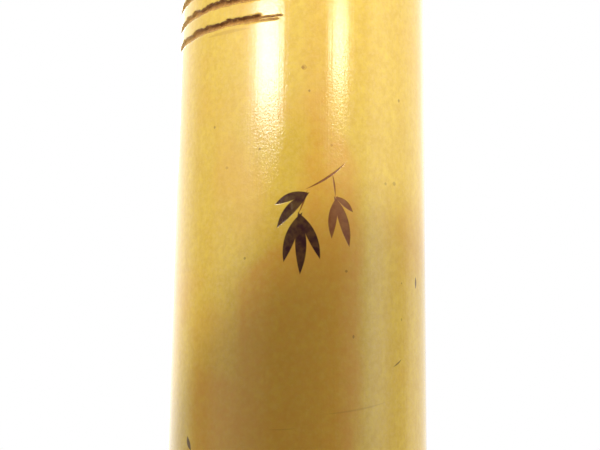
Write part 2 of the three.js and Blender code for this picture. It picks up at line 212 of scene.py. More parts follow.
# The back's painted shadow over a handled patina, in millimetres: the two heights between which its left
# and its right edge move over, and how far round from the back's middle the edge lies at each
PAINTED_SHADOW_LEFT = (156, 163.5, -7.8, 0.5)
PAINTED_SHADOW_RIGHT = (170, 178, 9, 5)

# Patches of the skin, one over the other: their lumps' millimetres, detail and roughness, where a
# patch starts and is full, how much of its colour it takes, and that colour
SKIN_PATCHES = [
    (0.22, 2, 0.5, 0.35, 0.65, 0.14, "skin_deep"),
    (1.8, 4, 0.7, 0.35, 0.65, 0.4, "skin_deep"),
    (0.45, 3, 0.7, 0.42, 0.7, 0.52, "skin_bloom"),
    (14, 3, 0.5, 0.52, 0.72, 0.3, "skin_warm"),
    (30, 2, 0.5, 0.5, 0.75, 0.18, "skin_green"),
]

# The light panels on a sphere round the middle of the back: each takes a colour and a strength of
# the stage's look, then its glow in shares by degrees from straight behind towards +X, and by
# degrees upwards
PANEL_AIM = (0, 23 * MM, 181 * MM)
PANEL_DISTANCE = 600 * MM
PANEL_STEPS = 72
PANELS = {
    "broad_panel": (
        "broad",
        [
            (14, 0), (16.3, 0.1), (20.6, 0.5), (24, 1), (38, 1),
            (40.5, 0.8), (43.6, 0.4), (47.5, 0.12), (54, 0),
        ],
        [(8.5, 0), (10.8, 0.015), (13.1, 0.11), (15.8, 0.95), (21.5, 1), (23.3, 0.7), (25, 0.5), (28, 0)],
    ),
    "narrow_panel": (
        "narrow",
        [(-44, 0), (-35, 1), (-31, 1), (-20, 0)],
        [(11.5, 0), (15.4, 0.13), (19.7, 1), (21, 1), (23.3, 0.5), (25, 0.35), (28, 0)],
    ),
    "tail_panel": (
        "tail",
        [(40, 0), (47, 1), (56, 0.5), (68, 0.25), (80, 0)],
        [(4, 0), (9, 0.6), (12, 1), (26, 1), (32, 0)],
    ),
    "left_panel": (
        "side",
        [(102, 0), (117, 0.35), (132, 0.9), (162, 0.9), (174, 0)],
        [(-35, 0), (-12, 0.8), (6, 1), (40, 1), (55, 0)],
    ),
    "right_panel": (
        "side",
        [(-168, 0), (-154, 0.6), (-135, 0.4), (-104, 0.25), (-92, 0)],
        [(-35, 0), (-20, 0.28), (2, 0.28), (14, 1), (40, 1), (55, 0)],
    ),
    "fill_panel": (
        "side",
        [(-100, 0), (-88, 0.4), (-77, 0.8), (-66, 1), (-58, 0)],
        [(-20, 0), (-8, 0.8), (2, 1), (45, 1), (60, 0)],
    ),
}

# The panels that light the flute too, where mirrors alone show the others
LIGHTING_PANELS = ("fill_panel",)

# The dark cards that only mirrors show, just before the panels: the share that they cover, by the
# same degrees
CARD_DISTANCE = 570 * MM
CARDS = {
    "left_card": (
        [(76, 0), (88, 0.7), (100, 0.6), (114, 0)],
        [(-40, 0), (-25, 1), (4, 1), (14, 0.5), (45, 0.5), (58, 0)],
    ),
    "right_card": (
        [(-114, 0), (-103, 0.65), (-92, 0.65), (-76, 0)],
        [(-40, 0), (-25, 1), (1, 1), (11, 0)],
    ),
}

# The dark gauze round the back: its density and the millimetres up to its upper edge, by degrees
# towards +X, how softly it ends, and its rows and columns
FLAG_DENSITY = [(-49, 0), (-25, 1), (17, 1), (35, 0.6), (50, 0.36), (85, 0.36), (120, 0)]
FLAG_TOP = [
    (-58, 176), (-20, 177), (-12, 189), (10, 190), (18, 183), (21, 181), (25, 177),
    (29, 172), (34, 168.5), (38, 165), (42, 162), (48, 160), (70, 158), (120, 156),
]
FLAG_EDGE = 4 * MM
FLAG_ROWS = 64
FLAG_COLUMNS = 96

# The two windows, whose light ends at an edge across the back: degrees towards +X, millimetres
# towards +X and up to that edge, its lean, half the spread of the light and its softness
WINDOWS = {
    "left_window": (35, 8.6, 149.6, 40, 35, 0.028),
    "right_window": (-40, -7, 166.0, -6, 25, 0.014),
}

# How many degrees up both windows stand, how far off, and how big their lamps are
WINDOW_RISE = 32
WINDOW_DISTANCE = 600 * MM
WINDOW_RADIUS = 4 * MM

# The lamp in front, the floor's rings, where it turns white, and the camera's lens in millimetres
FRONT_PLACE = (250 * MM, -900 * MM, 600 * MM)
FRONT_RISE = 65 * DEGREE
FRONT_SIZE = 500 * MM
FLOOR_RING_SHARES = (1, 0.6, 0.3, 0.1)
FLOOR_FADE_SHARES = (0.45, 0.98)
FLOOR_DROP = 0.5 * MM
LENS = 48
NEAREST = 10 * MM


def paint(code):
    """A colour as on a paint chart, such as e9c561, in linear light."""
    shares = [int(code[place : place + 2], 16) / 255 for place in (0, 2, 4)]
    return tuple(x / 12.92 if x <= 0.04045 else ((x + 0.055) / 1.055) ** 2.4 for x in shares)


def length(name, description, value):
    return FloatProperty(name=name, description=description, default=value, unit="LENGTH", precision=5)


def angle(name, description, degrees):
    value = degrees * DEGREE
    return FloatProperty(name=name, description=description, default=value, unit="ROTATION")


def colour(name, description, code):
    return FloatVectorProperty(
        name=name, description=description, default=paint(code), subtype="COLOR", min=0, max=1
    )


def strength(name, description, value):
    return FloatProperty(name=name, description=description, default=value, min=0)


class CulmSizes(bpy.types.PropertyGroup):
    """Sizes of the bamboo's outside."""

    internode_radius: length("Internode radius", "Radius of the stem between two nodes", 18.3 * MM)
    top_narrowing: length("Narrowing", "How much the radius loses over the whole length", 0.8 * MM)
    root_spread: length("Root spread", "How far the root end swells out", 8 * MM)
    root_spread_height: length("Root spread height", "Height at which the swelling ends", 110 * MM)
    root_bend_height: length("Root bend height", "Height at which the root's bend ends", 140 * MM)
    root_edge_round: length("Root edge", "Rounding of the root end's rim", 2.4 * MM)
    mouth_edge_round: length("Mouth edge", "Rounding of the mouth end's rim", 1.6 * MM)
    node_ridge: length("Node ridge", "Height of the ridge round each node", 0.9 * MM)
    node_ridge_width: length("Ridge width", "Half width of that ridge", 2.2 * MM)
    scar_depth: length("Sheath scar", "Depth of the sheath scar under each node", 0.5 * MM)
    scar_width: length("Scar width", "Half width of the sheath scar", 0.45 * MM)
    scar_drop: length("Scar drop", "How far the scar lies under its node", 2.8 * MM)
    scar_lip: length("Scar lip", "Height of the thin lip over the scar", 0.22 * MM)
    stem_wave: length("Stem node wave", "How far a stem node wanders up and down", 0.35 * MM)
    root_wave: length("Root node wave", "How far a root node wanders up and down", 1.1 * MM)
    unevenness: length("Unevenness", "How far the stem is from round", 0.07 * MM)
    root_unevenness: length("Root unevenness", "How far the root end is from round", 0.55 * MM)
    stub_radius: length("Rootlet radius", "Radius of a trimmed rootlet", 1.55 * MM)
    stub_height: length("Rootlet height", "How far a trimmed rootlet stands proud", 0.7 * MM)
    hole_radius: length("Hole radius", "Radius of the finger and thumb holes", 5 * MM)
    narrow_hole_radius: length("Narrow hole radius", "Radius of the third finger hole", 4.7 * MM)
    hole_rim: length("Hole rim", "Rounding of the rim of each hole", 0.7 * MM)


class GrooveSizes(bpy.types.PropertyGroup):
    """Sizes of the burnt grooves cut part of the way round the lower section."""

    count: IntProperty(name="Grooves", description="How many grooves there are", default=3, min=0)
    first: length("First groove", "How far the lowest groove lies under its node", 13.85 * MM)
    pitch: length("Pitch", "Height from one groove to the next", 2.9 * MM)
    width: length("Width", "Height of one groove", 1.15 * MM)
    depth: length("Depth", "Depth of one groove", 0.45 * MM)
    ragged: length("Raggedness", "How far a groove's upper edge wanders", 0.24 * MM)
    start: angle("Start", "Where a groove starts, turned from +X towards the back", 82.9)
    end: angle("End", "Where a groove ends, in front", -70)
    stagger: angle("Stagger", "How much shorter each next groove is at both ends", 3)
    tail: length("Tail", "Length of the two fine lines that run on at a groove's ends", 3.6 * MM)
    tail_depth: length("Tail depth", "Depth of those fine lines", 0.04 * MM)


class BoreSizes(bpy.types.PropertyGroup):
    """Sizes of the bore, its lacquered lining and the joint."""

    mouth_radius: length("Mouth radius", "Radius of the bore at the mouth", 9.8 * MM)
    joint_radius: length("Joint radius", "Radius of the bore at the joint", 8.8 * MM)
    throat_radius: length("Throat radius", "Radius of the bore where it is narrowest", 8 * MM)
    bell_radius: length("Bell radius", "Radius of the bore at the root end", 8.9 * MM)
    throat_height: length("Throat height", "Height of the narrowest place", 110 * MM)
    lining_wall: length("Lining wall", "Thickness of ground and lacquer at the mouth", 1.2 * MM)
    seat_gap: length("Seat", "Room between the lining and the bamboo in the frame", 0.3 * MM)
    fine_gap: length("Fine gap", "What is left of that room once both are dressed", 0.03 * MM)
    tenon_clearance: length("Tenon clearance", "Room round the tenon in its socket", 0.2 * MM)
    socket_wall: length("Socket wall", "Thickness of the socket's own lining", 0.6 * MM)
    tenon_wall: length("Tenon wall", "Thickness of the tenon's bamboo", 2.3 * MM)
    tenon_round: length("Tenon tip", "Rounding of the tenon's tip", 0.8 * MM)
    lip_round: length("Lining lip", "Rounding of the lining's end", 0.35 * MM)


class BandSizes(bpy.types.PropertyGroup):
    """Sizes of the silver bands and of the rattan bindings beside them."""

    ring_wall: length("Band wall", "Thickness of a silver band", 1.2 * MM)
    ring_round: length("Band edge", "Rounding of a silver band's edges", 0.22 * MM)
    strip_pitch: length("Strip pitch", "Height of one turn of rattan", 2.1 * MM)
    strip_gap: length("Strip gap", "Gap between two turns of rattan", 0.05 * MM)
    strip_crown: length("Strip crown", "How far the middle of a strip stands over its edges", 0.4 * MM)
    strip_inside: length("Strip depth", "How far the strip's inside lies under its outside", 0.9 * MM)
    channel_room: length("Channel room", "Room at each end of a binding", 0.12 * MM)


class MouthSizes(bpy.types.PropertyGroup):
    """Sizes of the blowing edge, its horn and the chin bevel."""

    edge_drop: length("Edge drop", "How far the blowing edge lies under the top", 3 * MM)
    edge_slope: angle("Edge slope", "Lean of the blowing edge's cut from upright", 38)
    inlay_edge_width: length("Horn width", "Width of the horn at the blowing edge", 17 * MM)
    inlay_foot_width: length("Horn foot", "Width of the horn at its foot", 9 * MM)
    inlay_height: length("Horn height", "Length of the horn down the slope", 8.5 * MM)
    inlay_depth: length("Horn depth", "Thickness of the horn under the slope", 3 * MM)
    inlay_gap: length("Horn seam", "Width of the seam round the horn", 0.03 * MM)
    chin_bevel: length("Chin bevel", "How far the chin bevel reaches down the back", 3.5 * MM)
    chin_slope: angle("Chin slope", "Lean of the chin bevel from upright", 50)


class Finishes(bpy.types.PropertyGroup):
    """Colours of the flute's materials."""

    skin: colour("Bamboo skin", "Cured golden skin of the bamboo", "e2bf4a")
    skin_pale: colour("Pale fibre", "Paler stretches along the fibres", "eccf5e")
    skin_deep: colour("Deep fibre", "Deeper stretches along the fibres", "cfa53c")
    skin_bloom: colour("Bloom", "Greyish bloom in the pores of the skin", "e2c068")
    skin_warm: colour("Warm patch", "Orange patches in the skin", "dd9c3c")
    skin_green: colour("Olive tint", "Olive tint of the less faded skin", "bfa14c")
    skin_root: colour("Root skin", "Brown of the root end", "a9752f")
    # This brown paints the shadow over the back's middle as well as a handled patina
    patina_and_shade: colour("Handled skin", "Brown of the skin where the thumb rests", "da9840")
    scar: colour("Scar", "Dark line under each node and round each rootlet", "4a2a12")
    cut: colour("Cut bamboo", "Bamboo cut across its fibres", "c99a55")
    cut_dark: colour("Fibre ends", "Ends of the fibre bundles in cut bamboo", "6b4319")
    groove: colour("Groove", "Lower side of the burnt grooves", "b07c36")
    groove_fibre: colour("Groove fibres", "Fibres laid bare in the burnt grooves", "bf8d40")
    # Burn along the grooves' upper edge, also painting the shade under the steep upper wall
    groove_edge_shade: colour("Groove edge", "Burnt upper edge of the grooves", "7a4a10")
    ornament: colour("Leaf ornament", "Burnt-in leaves", "3a1a1c")
    ornament_thin: colour("Leaf ornament, thin", "Lightly burnt lines", "7b4420")
    bore: colour("Bore lacquer", "Red lacquer of the bore", "8c1f14")
    lacquer: colour("Tenon lacquer", "Dark lacquer of the tenon", "3a1d10")
    horn: colour("Horn", "Black horn of the blowing edge", "15100e")
    horn_pale: colour("Horn streak", "Pale streak in the horn", "4b3423")
    silver: colour("Silver", "Polished silver of the bands", "d8d5cd")
    tarnish: colour("Tarnish", "Tarnish of the silver", "8b8276")
    rattan: colour("Rattan", "Lacquered rattan of the bindings", "5a2d17")
    rattan_pale: colour("Rattan, pale", "Paler fibres of the rattan", "8f5528")


class StageLook(bpy.types.PropertyGroup):
    """The floor, the light and the camera."""

    floor: colour("Floor", "Colour of the floor", "e9e9e7")
    floor_radius: length("Floor radius", "Radius of the round floor", 750 * MM)
    world: strength("World", "Strength of the white world as light", 1.02)
    broad: strength("Broad panel", "Strength of the broad panel up to the back's left", 22)
    broad_colour: colour("Broad panel colour", "Colour of the broad panel", "ffffff")
    narrow: strength("Narrow panel", "Strength of the narrow panel up to the back's right", 26)
    narrow_colour: colour("Narrow panel colour", "Colour of the narrow panel", "fff4dc")
    tail: strength("Tail panel", "Strength of the soft panel beside the broad one", 2.6)
    tail_colour: colour("Tail panel colour", "Colour of the tail panel", "fff8ea")
    side: strength("Side panels", "Strength of the broad soft panels at the sides", 1.1)
    side_colour: colour("Side panel colour", "Colour of the side panels", "ffffff")
    left_window: strength("Left window", "Power of the window light from the back's left, in watts", 5.7)
    right_window: strength("Right window", "Power of the window light from the back's right, in watts", 4.7)
    front: strength("Front lamp", "Power of the lamp before the finger holes, in watts", 3.5)
    card_colour: colour("Cards", "Colour of the dark cards at the sides", "2a251d")
    flag_colour: colour("Flag", "Colour of the dark gauze close to the back", "120d08")
    flag_foot: length("Flag foot", "Height of the dark gauze's lower edge", 100 * MM)
    flag_top: length("Flag top", "Height of the dark gauze's upper edge", 193 * MM)
    flag_distance: length("Flag distance", "From the bore's axis to the dark gauze", 58 * MM)
    camera_distance: length("Camera distance", "From the bore's axis to the camera", 116.4 * MM)
    camera_height: length("Camera height", "Height of the camera", 151.6 * MM)
    camera_rise: angle("Camera rise", "How far the camera looks up", 6.67)
    camera_roll: angle("Camera roll", "How far the camera leans", 0.68)


SETTINGS = {
    "flute_culm": CulmSizes,
    "flute_grooves": GrooveSizes,
    "flute_bore": BoreSizes,
    "flute_bands": BandSizes,
    "flute_mouth": MouthSizes,
    "flute_finishes": Finishes,
    "flute_stage": StageLook,
}


# Shapes


def smooth(value, low, high):
    """0 under low, 1 over high and an even ease between them."""
    part = np.clip((value - low) / (high - low), 0, 1)
    return part * part * (3 - 2 * part)


def bulge(distance, half_width):
    return np.exp(-((distance / half_width) ** 2))


def lobes(table, turned, rise):
    """Waves round the culm, each row being how high, how many and how far they twist."""
    return sum(high * np.sin(count * turned + twist * rise) for high, count, twist in table)


def weighted(shares, *values):
    return sum(share * value for share, value in zip(shares, values))


def angles_of(columns):
    return np.arange(columns) * (TURN / columns)


def middle_y(height):
    """How far behind the origin the middle of the culm's outside lies."""
    bend_height = bpy.context.scene.flute_culm.root_bend_height
    part = np.clip(1 - height / bend_height, 0, None)
    return AXIS_Y * (1 - part * part)


def turn_between(turned, around):
    """The signed turn from one angle to another, at most half a turn either way."""
    return np.mod(turned - around + math.pi, TURN) - math.pi


class RaggedLine:
    """A line that wanders at random, the same each time, as a knife does over fibres."""

    def __init__(self, seed, spacing):
        draw = np.random.default_rng(seed)
        self.places = np.arange(-TURN, TURN, spacing)
        self.values = draw.uniform(-1, 1, len(self.places))

    def at(self, turned):
        return np.interp(turned, self.places, self.values)


class Culm:
    """The outside of the bamboo: a radius for every angle and height."""

    NODE_SEED = 18
    STUB_SEED = 7
    GROOVE_SEED = 31
    GROOVE_SEED_STEP = 5

    # The swelling's curve, and waves round the nodes, stem and root: how high, how many, how twisted
    SPREAD_POWER = 2.2
    NODE_LOBES = ((1, 1, 1), (0.45, 2, 2.3))
    STEM_LOBES = ((1, 2, 1), (0.6, 3, -1.7))
    ROOT_LOBES = ((1, 3, 4), (0.6, 5, -6))
    WOBBLE_LENGTH = 60 * MM
    EVEN_NEAR_JOINT = 20 * MM
    EVEN_FADE = 45 * MM

    # Fine rows go on for so many widths of a scar and a ridge, and a ridge's mask is wider than it
    SCAR_REACH = 4
    RIDGE_REACH = 2
    RIDGE_MASK_SHARE = 1.6
    BUD_HEIGHT = 0.4 * MM
    BUD_WIDTH = 1.6 * MM
    BUD_RISE = 2.6 * MM

    # Rootlets: how many in each ring, the lowest ring, how far they stray and how they differ, and
    # the shares of their radius where their side falls off, their mask ends and their dip lies
    STUB_COUNTS = (14, 24, 19, 13)
    FIRST_STUB_ROW = 5.2 * MM
    STUB_TURN_SHARE = 0.28
    STUB_JITTER = 1.3 * MM
    STUB_RADIUS_SHARES = (0.62, 1.12)
    STUB_HEIGHT_SHARES = (0.5, 1.1)
    STUB_SIDE_SHARES = (0.8, 1.15)
    STUB_REACH = 1.5
    STUB_DIP_SHARE = 0.12
    STUB_DIP_WIDTH_SHARE = 0.6

    # Grooves: how often their sides turn, coarse and fine, how far each does, and their steep side
    RAGGED_STEPS = (0.9 * MM, 0.35 * MM)
    UPPER_RAGGED_SHARES = (0.7, 0.5)
    LOWER_RAGGED_SHARES = (0.3, 0.2)
    STEEP_SHARE = 0.55
    DARK_SHARES = (0.02, 0.3)

    # The fine lines at their ends: where each lies across a groove and how long it is, as shares,
    # and where the groove itself begins beside them
    TAILS = ((0.28, 1), (-0.4, 0.84))
    TAIL_WIDTH = 0.17 * MM
    TAIL_FADE_SHARE = 0.2
    TAIL_EDGE_SHARE = 0.3
    TAIL_WANDER_SHARE = 0.15
    BODY_START_SHARES = (0.86, 1.1)

    def __init__(self, scene):
        self.sizes = scene.flute_culm
        self.grooves = scene.flute_grooves
        s = self.sizes
        draw = np.random.default_rng(self.NODE_SEED)
        root = [(part * s.root_spread_height, s.root_wave) for part in ROOT_NODE_SHARES]
        stem = [(part * LENGTH, s.stem_wave) for part in STEM_NODE_SHARES]
        self.nodes = [(height, wave, draw.uniform(0, TURN)) for height, wave in root + stem]
        self.root_top = root[-1][0]
        self.stem_nodes = self.nodes[len(root) :]
        self.buds = [(node[0], place * math.pi) for place, node in enumerate(self.stem_nodes)]
        self.first_groove = self.stem_nodes[1][0] - self.grooves.first
        self.stubs = self.place_stubs([height for height, _ in root])
        self.edges = self.ragged_edges()

    def place_stubs(self, root_heights):
        """Rootlets in rings round the root's nodes, each a little off its place."""
        draw = np.random.default_rng(self.STUB_SEED)
        stubs = []
        for row, height in enumerate([self.FIRST_STUB_ROW, *root_heights]):
            count = self.STUB_COUNTS[row]
            for place in range(count):
                aside = draw.uniform(-self.STUB_TURN_SHARE, self.STUB_TURN_SHARE)
                turned = TURN * (place + aside) / count
                up = height + draw.uniform(-1, 1) * self.STUB_JITTER
                radius = self.sizes.stub_radius * draw.uniform(*self.STUB_RADIUS_SHARES)
                raised = self.sizes.stub_height * draw.uniform(*self.STUB_HEIGHT_SHARES)
                stubs.append((turned, up, radius, raised))
        return stubs

    def ragged_edges(self):
        radius = self.sizes.internode_radius
        return [
            [
                RaggedLine(self.GROOVE_SEED + self.GROOVE_SEED_STEP * groove + place, step / radius)
                for place, step in enumerate(2 * self.RAGGED_STEPS)
            ]
            for groove in range(self.grooves.count)
        ]

    def above_node(self, turned, height, node):
        """How far above its wavy node a point lies."""
        place, wave, phase = node
        return height - place - wave * lobes(self.NODE_LOBES, turned, phase)

    def wobble(self, turned, height):
        """How far from round the culm is: nowhere beside the joint, and most at the root."""
        even = smooth(abs(height - JOINT), self.EVEN_NEAR_JOINT, self.EVEN_FADE)
        rise = height / self.WOBBLE_LENGTH
        at_root = np.clip(1 - height / self.sizes.root_spread_height, 0, 1) ** 2
        stem = self.sizes.unevenness * even * lobes(self.STEM_LOBES, turned, rise)
        root = self.sizes.root_unevenness * at_root * lobes(self.ROOT_LOBES, turned, rise)
        return stem + root

    def stub_field(self, turned, height):
        """How high the rootlets stand, and how near each point is to one, from 0 to 1."""
        raised = np.zeros_like(turned)
        near = np.zeros_like(turned)
        s = self.sizes
        for around, up, radius, stub_height in self.stubs:
            here = np.flatnonzero(abs(height - up) < self.STUB_REACH * radius)
            root_radius = s.internode_radius + s.root_spread * (1 - up / s.root_spread_height)
            across = turn_between(turned[here], around) * root_radius
            distance = np.hypot(across, height[here] - up) / radius
            dome = stub_height * (1 - smooth(distance, *self.STUB_SIDE_SHARES))
            hollow = 1 - smooth(distance, 0, self.STUB_DIP_WIDTH_SHARE)
            dip = self.STUB_DIP_SHARE * stub_height * hollow
            raised[here] = np.maximum(raised[here], dome - dip)
            near[here] = np.maximum(near[here], np.clip(1 - distance / self.STUB_REACH, 0, 1))
        return raised, near

    def groove_field(self, turned, height):
        """Depth of the grooves, their darkness from 0 to 1, and the place across one, -1 to 1."""
        g = self.grooves
        depth = np.zeros_like(turned)
        dark = np.zeros_like(turned)
        across = np.zeros_like(turned)
        for place in range(g.count):
            middle = self.first_groove + place * g.pitch
            here = np.flatnonzero(abs(height - middle) < g.width)
            if not len(here):
                continue
            around = np.mod(turned[here] + BACK, TURN) - BACK
            deep, burnt, part = self.one_groove(place, around, height[here] - middle)
            depth[here] = np.maximum(depth[here], deep)
            dark[here] = np.maximum(dark[here], burnt)
            across[here] = np.where(burnt > 0, part, across[here])
        return depth, dark, across

    def one_groove(self, place, around, up):
        """A groove with a steep ragged upper side, and the two fine lines that its ends run out in."""
        g = self.grooves
        stagger = place * g.stagger
        from_end = np.minimum(g.start - stagger - around, around - g.end - stagger)
        from_end = from_end * self.sizes.internode_radius
        coarse, fine, low, lower = (line.at(around) for line in self.edges[place])
        half = g.width / 2
        top = half + g.ragged * weighted(self.UPPER_RAGGED_SHARES, coarse, fine)
        bottom = -half - g.ragged * weighted(self.LOWER_RAGGED_SHARES, low, lower)
        part = (2 * up - top - bottom) / (top - bottom)
        body = smooth(from_end, *(g.tail * share for share in self.BODY_START_SHARES))
        rise = (part + 1) / (1 + self.STEEP_SHARE)
        fall = (1 - part) / (1 - self.STEEP_SHARE)
        inside = np.clip(np.minimum(rise, fall), 0, 1) * body
        depth = g.depth * inside
        dark = smooth(inside, *self.DARK_SHARES)
        for tail, reach in self.TAILS:
            off = abs(up - tail * half - self.TAIL_WANDER_SHARE * g.ragged * fine)
            line = 1 - smooth(off, self.TAIL_EDGE_SHARE * self.TAIL_WIDTH, self.TAIL_WIDTH)
            start = 1 - reach
            line = line * smooth(from_end, g.tail * start, g.tail * (start + self.TAIL_FADE_SHARE))
            line = line * (1 - body)
            depth = np.maximum(depth, g.tail_depth * line)
            dark = np.maximum(dark, line)
        return depth, dark, part

    def plain_radius(self, turned, height):
        """The outside with its nodes and buds, before the rootlets and the grooves."""
        s = self.sizes
        spread = np.clip(1 - height / s.root_spread_height, 0, None)
        radius = s.internode_radius + s.root_spread * spread**self.SPREAD_POWER
        radius = radius - s.top_narrowing * height / LENGTH + self.wobble(turned, height)
        for node in self.nodes:
            above = self.above_node(turned, height, node)
            below = above + s.scar_drop
            radius = radius + s.node_ridge * bulge(above, s.node_ridge_width)
            radius = radius - s.scar_depth * bulge(below, s.scar_width)
            radius = radius + s.scar_lip * bulge(below - 2 * s.scar_width, s.scar_width)
        for node_height, around in self.buds:
            across = turn_between(turned, around) * s.internode_radius
            up = height - node_height - self.BUD_RISE
            bud = bulge(across, self.BUD_WIDTH) * bulge(up, self.BUD_RISE / 2)
            radius = radius + self.BUD_HEIGHT * bud
        return radius

    def radius(self, turned, height):
        turned, height = np.broadcast_arrays(np.asarray(turned, float), np.asarray(height, float))
        turned, height = np.atleast_1d(turned), np.atleast_1d(height)
        raised, _ = self.stub_field(turned, height)
        depth, _, _ = self.groove_field(turned, height)
        return self.plain_radius(turned, height) + raised - depth

    def scar_field(self, turned, height):
        """How near each point is to a sheath scar, and to a node's ridge, from 0 to 1."""
        s = self.sizes
        scar = np.zeros_like(turned)
        ridge = np.zeros_like(turned)
        for node in self.nodes:
            above = self.above_node(turned, height, node)
            scar = np.maximum(scar, bulge(above + s.scar_drop, s.scar_width))
            ridge = np.maximum(ridge, bulge(above, self.RIDGE_MASK_SHARE * s.node_ridge_width))
        return scar, ridge

    def loops(self, rows):
        """Rings of points at rows of height, number of columns and inset."""
        turned = np.concatenate([angles_of(columns) for _, columns, _ in rows])
        height = np.concatenate([np.full(columns, up) for up, columns, _ in rows])
        inset = np.concatenate([np.full(columns, drawn_in) for _, columns, drawn_in in rows])
        radius = self.radius(turned, height) - inset
        back = middle_y(height) + radius * np.sin(turned)
        points = np.column_stack([radius * np.cos(turned), back, height])
        return np.split(points, np.cumsum([columns for _, columns, _ in rows])[:-1])

    def row_heights(self, low, high, spacing):
        """Heights from low to high, their steps already fine where a fine stretch begins."""
        heights = [low]
        step = spacing(low)
        while heights[-1] + LAST_ROW_SHARE * step < high:
            heights.append(heights[-1] + step)
            ahead = spacing(heights[-1])
            step = min(ahead, spacing(heights[-1] + ahead))
        return [*heights, high]

    def near_node(self, height):
        s = self.sizes
        low = -s.scar_drop - self.SCAR_REACH * s.scar_width
        high = self.RIDGE_REACH * s.node_ridge_width
        return any(low < height - place < high for place, _, _ in self.nodes)


def turned_loop(radius, height, columns):
    """A ring of points round the bore's axis."""
    turned = angles_of(columns)
    across = radius * np.cos(turned)
    back = AXIS_Y + radius * np.sin(turned)
    return np.column_stack([across, back, np.full(columns, height)])


def rim_steps(rounding, arc=BACK):
    """Over a rounded rim: how far it is along from its end, and how far in from its side."""
    turns = [arc * step / ARC_STEPS for step in range(ARC_STEPS + 1)]
    return [(rounding * (1 - math.cos(turned)), rounding * (1 - math.sin(turned))) for turned in turns]


def arc_rows(end, away, rounding):
    """Pairs of height and inset over a rounded rim, from the end inwards."""
    return [(end + away * along, inset) for along, inset in rim_steps(rounding)[:-1]]


def heights_down(high, low):
    """Heights from high down to low, about a wall's row apart."""
    count = max(1, round((high - low) / WALL_ROW_STEP))
    return [high + (low - high) * step / count for step in range(count + 1)]


def band_faces(low_start, low_count, high_start, high_count):
    """Faces between two rings whose counts are alike, or double one another."""
    count = min(low_count, high_count)
    here = np.arange(count)
    there = (here + 1) % count
    if low_count == high_count:
        ring = [low_start + here, low_start + there, high_start + there, high_start + here]
    elif low_count < high_count:
        far = (2 * here + 2) % high_count
        ring = [low_start + here, low_start + there, high_start + far]
        ring += [high_start + 2 * here + 1, high_start + 2 * here]
    else:
        far = (2 * here + 2) % low_count
        ring = [low_start + 2 * here, low_start + 2 * here + 1, low_start + far]
        ring += [high_start + there, high_start + here]
    return np.column_stack(ring).tolist()


def loft(loops, closed=True):
    """Points and faces of a skin through rings of points, closed on itself or by end caps."""
    starts = np.concatenate([[0], np.cumsum([len(loop) for loop in loops])])
    faces = []
    for low in range(len(loops) if closed else len(loops) - 1):
        high = (low + 1) % len(loops)
        faces += band_faces(starts[low], len(loops[low]), starts[high], len(loops[high]))
    if not closed:
        faces.append(list(range(len(loops[0])))[::-1])
        faces.append(list(range(int(starts[-2]), int(starts[-1]))))
    return np.concatenate(loops), faces


def grid_faces(wide, tall):
    starts = [row * wide + place for row in range(tall - 1) for place in range(wide - 1)]
    return [[here, here + 1, here + wide + 1, here + wide] for here in starts]


def new_piece(name, points, faces):
    mesh = bpy.data.meshes.new(name)
    mesh.from_pydata(np.asarray(points).tolist(), [], faces)
    mesh.validate()
    piece = bpy.data.objects.new(name, mesh)
    bpy.context.scene.collection.objects.link(piece)
    return piece


def apply_modifiers(piece):
    """Replaces the piece's mesh by what its modifiers make of it."""
    depsgraph = bpy.context.evaluated_depsgraph_get()
    made = bpy.data.meshes.new_from_object(piece.evaluated_get(depsgraph))
    piece.modifiers.clear()
    old = piece.data
    piece.data = made
    made.name = piece.name
    bpy.data.meshes.remove(old)


def boolean(piece, cutters, operation="DIFFERENCE"):
    """Cuts each of the cutters out of the piece, or keeps what they share."""
    for cutter in cutters:
        modifier = piece.modifiers.new("cut", "BOOLEAN")
        modifier.operation = operation
        modifier.solver = "MANIFOLD"
        modifier.object = cutter
    bpy.context.view_layer.update()
    apply_modifiers(piece)


def cut_away(piece, cutters):
    boolean(piece, cutters)
    remove(cutters)


def remove(objects):
    for spare in objects:
        mesh = spare.data
        bpy.data.objects.remove(spare)
        bpy.data.meshes.remove(mesh)


def shade_smooth(piece, sharp_degrees=SHARP):
    piece.data.shade_smooth()
    piece.data.set_sharp_from_angle(angle=sharp_degrees * DEGREE)


def turned_piece(name, profile):
    """A piece turned about the bore's axis from a closed profile of radius and height pairs."""
    loops = [turned_loop(radius, height, TURNED_SIDES) for radius, height in profile]
    return new_piece(name, *loft(loops))


def positions(piece):
    values = np.empty(3 * len(piece.data.vertices), np.float32)
    piece.data.vertices.foreach_get("co", values)
    return values.reshape(-1, 3).astype(float)


def add_attribute(piece, name, values):
    attribute = piece.data.attributes.new(name, "FLOAT", "POINT")
    attribute.data.foreach_set("value", np.asarray(values, np.float32))


# Cutters


def hole_places(scene):
    """Height, radius and side of each hole: the finger holes from the root end, then the thumb's."""
    sizes = scene.flute_culm
    places = []
    for place, part in enumerate(FINGER_HOLE_SHARES):
        radius = sizes.narrow_hole_radius if place == NARROW_HOLE else sizes.hole_radius
        places.append((part * LENGTH, radius, -1))
    places.append((THUMB_HOLE_SHARE * LENGTH, sizes.hole_radius, 1))
    return places


